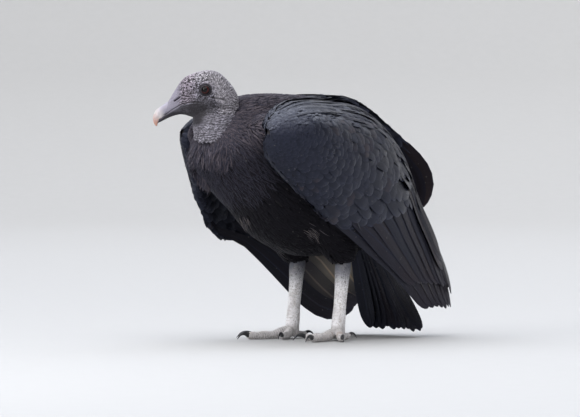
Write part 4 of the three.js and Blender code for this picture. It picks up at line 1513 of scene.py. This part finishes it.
def claw_form(leg, toe):
    """A claw that rises out of the toe and hooks down to the floor."""
    _, length, radius = TOES[toe]
    way = toe_way(leg, toe)
    side = np.cross(way, UP_WAY)
    start = length - 1.5
    spine = even_curve([[start, 5], [start + 6, 7.2], [start + 12, 6.2], [length + CLAW_LENGTH, 1.2]])
    bm, around, along = tube(16, 22)
    at = sampled(spine, along)
    heading = sampled(unit(np.gradient(spine, axis=0)), along)
    r = radius * 0.72 * (1 - 0.9 * along**0.9)
    across, up = rounded(around)
    up = np.where(up < 0, 0.7 * up, up)
    reach = at[:, 0] - heading[:, 1] * r * up
    points = foot_of(leg) + way * reach[:, None] + side * (0.75 * r * across)[:, None]
    points[:, 2] += at[:, 1] + heading[:, 0] * r * up
    points[:, 2] = np.maximum(points[:, 2], 0.3)
    place_points(bm, points)
    return bm


print("claws reach", CLAW_LENGTH, "mm past their toes")

# %% [markdown]
# ### Legs and feet, put together
# Each leg is one piece of bare skin from shank to toe tips, pressed flat where it meets the floor.
# Its four claws stay pieces of their own, as they are of another material.

# %% Legs and feet, put together
for leg in LEGS:
    leg_mesh = melted(f"leg_{leg}", [shank_form(leg), *(toe_form(leg, toe) for toe in TOES)], 0.75, 5)
    points, normals = mesh_points(leg_mesh)
    out, masks = leg_relief(leg, points)
    formed = points + normals * out[:, None]
    formed[:, 2] = np.maximum(formed[:, 2], 0)
    leg_mesh.vertices.foreach_set("co", metres(formed).ravel())
    leg_mesh.update()
    bm = bmesh.new()
    bm.from_mesh(leg_mesh)
    toes = [f"toe_{toe}_{leg}" for toe in TOES]
    piece = finished(f"bare_leg_{leg}", bm, leg_material, "leg_skin", f"tarsus_{leg}", *toes)
    for label, value in masks.items():
        piece.data.attributes.new(label, "FLOAT", "POINT").data.foreach_set("value", value)
    for toe in TOES:
        finished(f"talon_{toe}_{leg}", claw_form(leg, toe), claw_material, "claw", f"claw_{toe}_{leg}")
    print(f"leg {leg}: {len(leg_mesh.polygons)} faces")

# %% [markdown]
# ## Scattered roots
# Feathers stand at even but irregular distances. Random places on the skin are taken one by one and
# kept only where no kept one is too near. A grid of cells makes that search short.

# %% Scattered roots
CELL = 12  # of the search grid, in mm, wider than any spacing
NEIGHBOURS = list(itertools.product((-1, 0, 1), repeat=3))


def scatter(mesh, spacing, keep, tries):
    """Roots on a mesh in bird millimetres, no closer than spacing(points)."""
    mesh.calc_loop_triangles()
    co = np.empty(len(mesh.vertices) * 3)
    mesh.vertices.foreach_get("co", co)
    tri = np.empty(len(mesh.loop_triangles) * 3, int)
    mesh.loop_triangles.foreach_get("vertices", tri)
    a, b, c = np.moveaxis((co.reshape(-1, 3) * 1000 - SHIFT)[tri.reshape(-1, 3)], 1, 0)
    area = np.linalg.norm(np.cross(b - a, c - a), axis=1)
    pick = RNG.choice(len(area), tries, p=area / area.sum())
    u, v = RNG.random((2, tries, 1))
    flip = u + v > 1
    u, v = np.where(flip, 1 - u, u), np.where(flip, 1 - v, v)
    points = a[pick] + u * (b - a)[pick] + v * (c - a)[pick]
    points = points[keep(points)]
    gap = spacing(points)
    cells, kept = {}, []
    for i, (p, g) in enumerate(zip(points.tolist(), gap.tolist())):
        x, y, z = (int(q // CELL) for q in p)
        near = (j for dx, dy, dz in NEIGHBOURS for j in cells.get((x + dx, y + dy, z + dz), ()))
        if all(math.dist(p, points[j]) > g for j in near):
            cells.setdefault((x, y, z), []).append(i)
            kept.append(i)
    return points[kept]


print("cells searched round a root:", len(NEIGHBOURS))

# %% [markdown]
# ## The lie of the coat
# Every feather walks along the skin, away from the neck and towards the tail, rising a little so
# that it covers the next one's root. At each step the nearest skin is found again, so that no
# feather dives into the body or floats off it.

# %% Lie of the coat
NECK_BASE = np.array((0, -152, 243.0))
VENT = np.array((0, 118, 118.0))


def lie(p):
    """The way the coat lies at points: away from the neck, and towards the vent."""
    away = p - NECK_BASE
    distance = np.linalg.norm(away, axis=-1, keepdims=True)
    near = np.exp(-distance / 55)
    back = unit(VENT - p)
    down = -UP_WAY * np.exp(-distance / 40)
    return unit(unit(away) * (0.25 + 0.9 * near) + back * (1.05 - near) + down + np.array((0, 0.25, -0.1)))


def comb(tree, roots, length, rise, vane, wander=0.12):
    """Lines that follow the skin from each root, and the skin's normals along them."""
    rows = len(vane.along)
    centre, normal = np.empty((2, len(roots), rows, 3))
    drift = RNG.normal(0, wander, (len(roots), 3))
    steps = np.diff(vane.along, prepend=0)
    at = roots.copy()
    ways = lie(roots) + drift
    for k in range(rows):
        at = at + ways * (length * steps[k])[:, None]
        found = [tree.find_nearest(p) for p in at.tolist()]
        at = np.array([f[0] for f in found])
        n = np.array([f[1] for f in found])
        ways = lie(at) + drift
        ways = unit(ways - n * (ways * n).sum(1, keepdims=True))
        centre[:, k] = at + n * (rise[0] + (rise[1] - rise[0]) * vane.along[k])
        normal[:, k] = n
    return centre, normal


def body_places(roots):
    """Each root's place on an unwrap of the skin: round the body's axis, and along it."""
    round_axis = np.arctan2(roots[:, 0], roots[:, 2] - 185) / math.tau + 0.5
    return np.column_stack([0.02 + 0.96 * round_axis, (roots[:, 1] + 190) / 330])


print("the coat on the breast lies along", lie(np.array([[0.0, -170, 200]])).round(2))

# %% [markdown]
# ### Feathers of the body
# The spacing suits each region: close round the neck, wide on the back, and finer on the thighs. The
# feathers are split into three pieces, front, rear and back, to keep each one light.

# %% Feathers of the body
def body_spacing(p):
    """Millimetres between the feathers of the body."""
    neck = np.linalg.norm(p - NECK_BASE, axis=1)
    top = smoothstep(225, 262, p[:, 2])
    size = np.interp(neck, (25, 60, 110, 200), (1.7, 2.3, 3.1, 4.1))
    size = size + top * np.interp(neck, (40, 110, 220), (0, 0.8, 2.4))
    leg = smoothstep(150, 118, p[:, 2]) * (np.abs(p[:, 0]) > 18)
    return size * (1 - 0.35 * leg)


def outside_neck(p):
    """True for skin that isn't hidden inside the bare neck."""
    return (np.hypot(p[:, 0] + 1, p[:, 1] + 158) > 19) | (p[:, 2] < 232)


roots = scatter(trunk_mesh, body_spacing, outside_neck, 130000)
spacing = body_spacing(roots)
length = 5.6 * spacing * RNG.uniform(0.8, 1.15, len(roots))
centre, normal = comb(TRUNK, roots, length, (0.2, COAT_DEPTH - 1.6), CONTOUR)
near_neck = np.linalg.norm(roots - NECK_BASE, axis=1)
# Painted sheen: the mantle's top fades to the lighter violet grey, which stands for sheen there. Nearer the
# neck the feathers are lighter as well.
mantle = smoothstep(215, 252, roots[:, 2]) * smoothstep(-20, -85, roots[:, 1])
fade = np.interp(near_neck, (35, 85), (0.5, 0.06)) + 0.7 * mantle
fade = np.clip(fade * RNG.uniform(0.4, 1.1, len(roots)), 0, 1)
in_front = roots[:, 1] < -95
on_top = roots[:, 2] > 190
tracts = {"front": in_front, "rear": ~in_front & ~on_top, "back": ~in_front & on_top}
for label, chosen in tracts.items():
    count = int(chosen.sum())
    piece = joined_vanes(
        f"body_feathers_{label}", CONTOUR, metres(centre[chosen]), normal[chosen],
        0.00058 * spacing[chosen], body_places(roots[chosen]),
        {"tone": RNG.uniform(0, 1, count), "fade": fade[chosen], "light": 0.0},
        BLACK_BACK if label == "back" else BLACK_BODY,
        tilt=RNG.normal(0, 0.12, count),
    )

# %% [markdown]
# ### Hair-like tips on neck and mantle
# The feathers of breast and mantle end in loose tips, so that they look like hair. A second, finer
# tract of narrow locks over the first one breaks up its edges. On the mantle's top the locks are
# painted lighter, as painted sheen.

# %% Loose tips
def hair_spacing(p):
    """Millimetres between the loose tips."""
    return np.interp(np.linalg.norm(p - NECK_BASE, axis=1), (25, 100), (1.5, 2.7))


def round_the_neck(p):
    """True for skin near the neck, and a little farther on the mantle."""
    far = np.linalg.norm(p - NECK_BASE, axis=1)
    limit = (84 + 40 * smoothstep(225, 255, p[:, 2])) * RNG.uniform(0.5, 1, len(p))
    return outside_neck(p) & (far < limit)


roots = scatter(trunk_mesh, hair_spacing, round_the_neck, 90000)
count = len(roots)
length = RNG.uniform(4.5, 6.5, count) * hair_spacing(roots)
centre, normal = comb(TRUNK, roots, length, (1.8, COAT_DEPTH - 1.0), LOCK, 0.2)
mantle = smoothstep(215, 252, roots[:, 2])
near_neck = np.linalg.norm(roots - NECK_BASE, axis=1)
# Painted sheen: locks on the mantle's top keep their full tone and fade more, so the mantle is lighter;
# locks near the neck keep a lighter tone as well.
bright = np.maximum(mantle, np.interp(near_neck, (38, 72), (1, 0.05)))
piece = joined_vanes(
    "mantle_tips", LOCK, metres(centre), normal, RNG.uniform(0.00045, 0.00075, count), body_places(roots),
    {
        "tone": RNG.uniform(0, 1, count) * bright,
        "fade": np.clip(RNG.uniform(0, 1.1, count) * (0.15 + 0.85 * mantle), 0, 1),
        "light": 0.0,
    },
    HACKLE, tilt=RNG.normal(0, 0.25, count),
)

# %% [markdown]
# ### Pale wisps
# A few long pale wisps show on the flank, where down comes through. They are placed as the camera
# sees them: a ray towards the bird finds the skin on which each one is rooted.

# %% Pale wisps
WISPS = [  # across the picture and up, spread of both in mm, how many
    (2, 130, 11, 8, 26), (-76, 146, 7, 8, 14), (-40, 112, 9, 5, 8),
]
starts = []
for aside, up, wide, high, count in WISPS:
    for _ in range(count):
        across = aside + RNG.normal(0, wide * 0.5)
        height = up + RNG.normal(0, high * 0.5)
        seen = picture_right * across + towards_camera * 400 + Vector((0, 0, height))
        hit = TRUNK.ray_cast(seen - Vector(SHIFT), -towards_camera)
        if hit[0] is not None:
            starts.append(hit[0])
roots = np.array(starts)
count = len(roots)
centre, normal = comb(TRUNK, roots, RNG.uniform(9, 17, count), (2.6, COAT_DEPTH + 0.2), LOCK, 0.12)
piece = joined_vanes(
    "flank_wisps", LOCK, metres(centre), normal, RNG.uniform(0.00022, 0.0004, count), body_places(roots),
    {"tone": RNG.uniform(0, 1, count), "fade": 0.3, "light": RNG.uniform(0.1, 0.65, count)}, HACKLE,
    tilt=RNG.normal(0, 0.25, count),
)

# %% [markdown]
# ### Scapulars
# Narrow pointed feathers spring from the shoulders' top, bridge the cleft between back and wing, and
# end over the wing's upper edge. They lie along the wing, on top of its coverts.

# %% Scapulars
POINTED_TIP = [(0, 0.3), (0.2, 0.7), (0.42, 1), (0.62, 0.92), (0.8, 0.66), (0.93, 0.32), (1, 0.05)]
SCAPULAR = Vane(8, POINTED_TIP, dome=0.22, thick=0.35)
for name, wing in WING.items():
    t, s = (q.ravel() for q in np.meshgrid(np.linspace(0.24, 0.62, 14), np.linspace(0.76, 1.03, 6)))
    count = len(t)
    t = t + RNG.normal(0, 0.012, count)
    v = SCAPULAR.along
    t_line = t[:, None] - 0.17 * (1 - v)
    s_line = (s + RNG.normal(0, 0.01, count))[:, None] + 0.03 * (v - 0.5)
    settle = smoothstep(0.8, 1.15, t_line / wing.reach(s_line.clip(0, 1))) * 2.6
    centre = wing.arm(t_line, s_line, 0.6 - 1.7 * v + settle)
    normal = on_surface(wing.arm, t_line, s_line, wing.side)
    piece = joined_vanes(
        f"scapulars_{name}", SCAPULAR, metres(centre), normal, RNG.uniform(0.0024, 0.004, count),
        np.column_stack([0.6 + 0.3 * t, 0.3 + 0.6 * s]),
        {"tone": RNG.uniform(0, 1, count), "fade": RNG.uniform(0, 0.4, count), "light": 0.0}, WING_COVERT,
        tilt=RNG.normal(0.15, 0.3, count) * wing.side,
    )

# %% [markdown]
# ### Ruff
# Where the bare neck ends, a collar of hair-like hackles leaves it outwards and falls over breast
# and mantle, some of them brown with wear. They root in rings round the neck, just under its lip,
# and are kept outside the skin on their way down.

# %% Ruff
def ruff_roots(rings, count):
    """Places round the neck under the lip of bare skin, ring by ring, in bird millimetres."""
    way = (np.arange(count) + RNG.uniform(-0.3, 0.3, (rings, count))) / count * math.tau - math.pi
    step = np.arange(rings)[:, None]
    up = lip_height(np.abs(way)) - 1.0 - 1.7 * step + RNG.normal(0, 0.7, way.shape)
    reach = 21.5 + 0.8 * step
    f, a = NECK_AXIS[0] + reach * np.cos(way), NECK_AXIS[1] + reach * np.sin(way)
    roots = head_place(f, a, up).reshape(-1, 3)
    found = [TRUNK.find_nearest(p) for p in roots.tolist()]
    skin_at, n = np.array([f[0] for f in found]), np.array([f[1] for f in found])
    far = ((roots - skin_at) * n).sum(1) - 2.5
    drawn_in = far.clip(0) * smoothstep(0, 8, np.repeat(np.arange(rings), count))
    return roots - n * drawn_in[:, None], way.ravel()


def hang(roots, out_way, length, vane):
    """Hackles that leave the neck outwards and fall, kept outside the body's skin."""
    rows = len(vane.along)
    centre, normal = np.empty((2, len(roots), rows, 3))
    drift = RNG.normal(0, 0.16, (len(roots), 3))
    drift = drift + 0.5 * np.column_stack([value_noise(roots, 6, k) for k in (41, 42, 43)])
    at = roots.copy()
    for k in range(rows):
        v = vane.along[k]
        way = unit(out_way * (0.42 - 0.55 * v) - UP_WAY * (0.8 + 0.35 * v) + drift)
        at = at + way * (length * (v - vane.along[max(k - 1, 0)]))[:, None]
        found = [TRUNK.find_nearest(p) for p in at.tolist()]
        skin_at, n = np.array([f[0] for f in found]), np.array([f[1] for f in found])
        clear = ((at - skin_at) * n).sum(1)
        need = 1.5 + 1.4 * v
        at = at + n * np.maximum(need - clear, 0)[:, None]
        centre[:, k] = at
        normal[:, k] = unit(out_way + 0.4 * n + 0.5 * UP_WAY)
    return centre, normal


roots, way = ruff_roots(13, 230)
length = RNG.uniform(9, 18, len(roots))
out_way = head_place(np.cos(way), np.sin(way), 0 * way) - HEAD_AT
centre, normal = hang(roots, out_way, length, LOCK)
count = len(roots)
ruff = joined_vanes(
    "ruff_hackles", LOCK, metres(centre), normal, RNG.uniform(0.0005, 0.0009, count), body_places(roots),
    {"tone": RNG.uniform(0, 1, count), "fade": RNG.uniform(0, 1, count) ** 1.5, "light": 0.0}, HACKLE,
    tilt=RNG.normal(0, 0.3, count),
)

# %% [markdown]
# ## Light
# Two very wide suns stand for an overcast sky: one from the front left above, which leaves the belly
# dark, and a bluish one from behind, which rims each feather. A small soft lamp puts the glint in
# the eye, and the world adds a dim fill.

# %% Light
MIDDLE = Vector((0, 0, 0.17))


def sky_light(name, way, energy, spread, colour):
    """A very wide sun that shines from the way given."""
    data = bpy.data.lights.new(name, "SUN")
    data.energy, data.angle, data.color = energy, math.radians(spread), colour
    light = bpy.data.objects.new(name, data)
    look_along(light, -way)
    bpy.context.scene.collection.objects.link(light)


front_way = towards_camera * 0.75 - picture_right * 0.7 + UP * 1.75
back_way = -towards_camera * 1.0 - picture_right * 0.15 + UP * 0.8
sky_light("front_sky", front_way, 4.4, 100, (0.98, 0.98, 1))
sky_light("back_sky", back_way, 3.6, 80, (0.84, 0.89, 1))

softbox = bpy.data.lights.new("softbox", "AREA")
softbox.size, softbox.energy = 0.35, 12
light = bpy.data.objects.new("softbox", softbox)
light.location = MIDDLE + towards_camera * 1.3 - picture_right * 1.3 + UP * 0.8
look_along(light, MIDDLE - light.location)
bpy.context.scene.collection.objects.link(light)

world = bpy.data.worlds.new("room")
bpy.context.scene.world = world
world.use_nodes = True
background = world.node_tree.nodes["Background"]
background.inputs["Color"].default_value = (0.82, 0.86, 0.92, 1)
background.inputs["Strength"].default_value = 0.25
bpy.context.scene.view_settings.view_transform = "Standard"
print("lights:", [data.name for data in bpy.data.lights])

# %% [markdown]
# ## Floor
# The floor is a wide pale bowl that curves up far behind on every side, so that no horizon shows. It
# is a profile spun round the middle, and its faint grain keeps it from looking like a void.

# %% Floor
FLOOR_PROFILE = [(0, 0), (7, 0), (9.5, 0.4), (11.3, 1.6), (12, 3.5), (12, 8)]  # out and up, in metres
bm = bmesh.new()
rim = [bm.verts.new((x, 0, z)) for x, z in FLOOR_PROFILE]
profile_edges = [bm.edges.new(pair) for pair in zip(rim, rim[1:])]
bmesh.ops.spin(
    bm, geom=rim + profile_edges, cent=(0, 0, 0), axis=(0, 0, 1), angle=math.tau, steps=64,
    use_merge=True, use_duplicate=False,
)
bmesh.ops.remove_doubles(bm, verts=bm.verts, dist=1e-4)
bmesh.ops.recalc_face_normals(bm, faces=bm.faces[:])
mesh = bpy.data.meshes.new("floor")
bm.to_mesh(mesh)
bm.free()
mesh.polygons.foreach_set("use_smooth", [True] * len(mesh.polygons))
floor = bpy.data.objects.new("floor", mesh)
bpy.context.scene.collection.objects.link(floor)
floor_material, n, shader = principled("floor_paper")
grain = n.noise(n.place(), 40.0)
n.feed(shader.inputs["Base Color"], n.mix(grain, (0.42, 0.42, 0.417), (0.44, 0.44, 0.437)))
shader.inputs["Roughness"].default_value = 0.8
mesh.materials.append(floor_material)
print("floor:", len(mesh.polygons), "faces")

# %% [markdown]
# The dressed bird's box is written beside the solids' box, so that the two can be compared: loose
# feather tips pass it by a few millimetres.
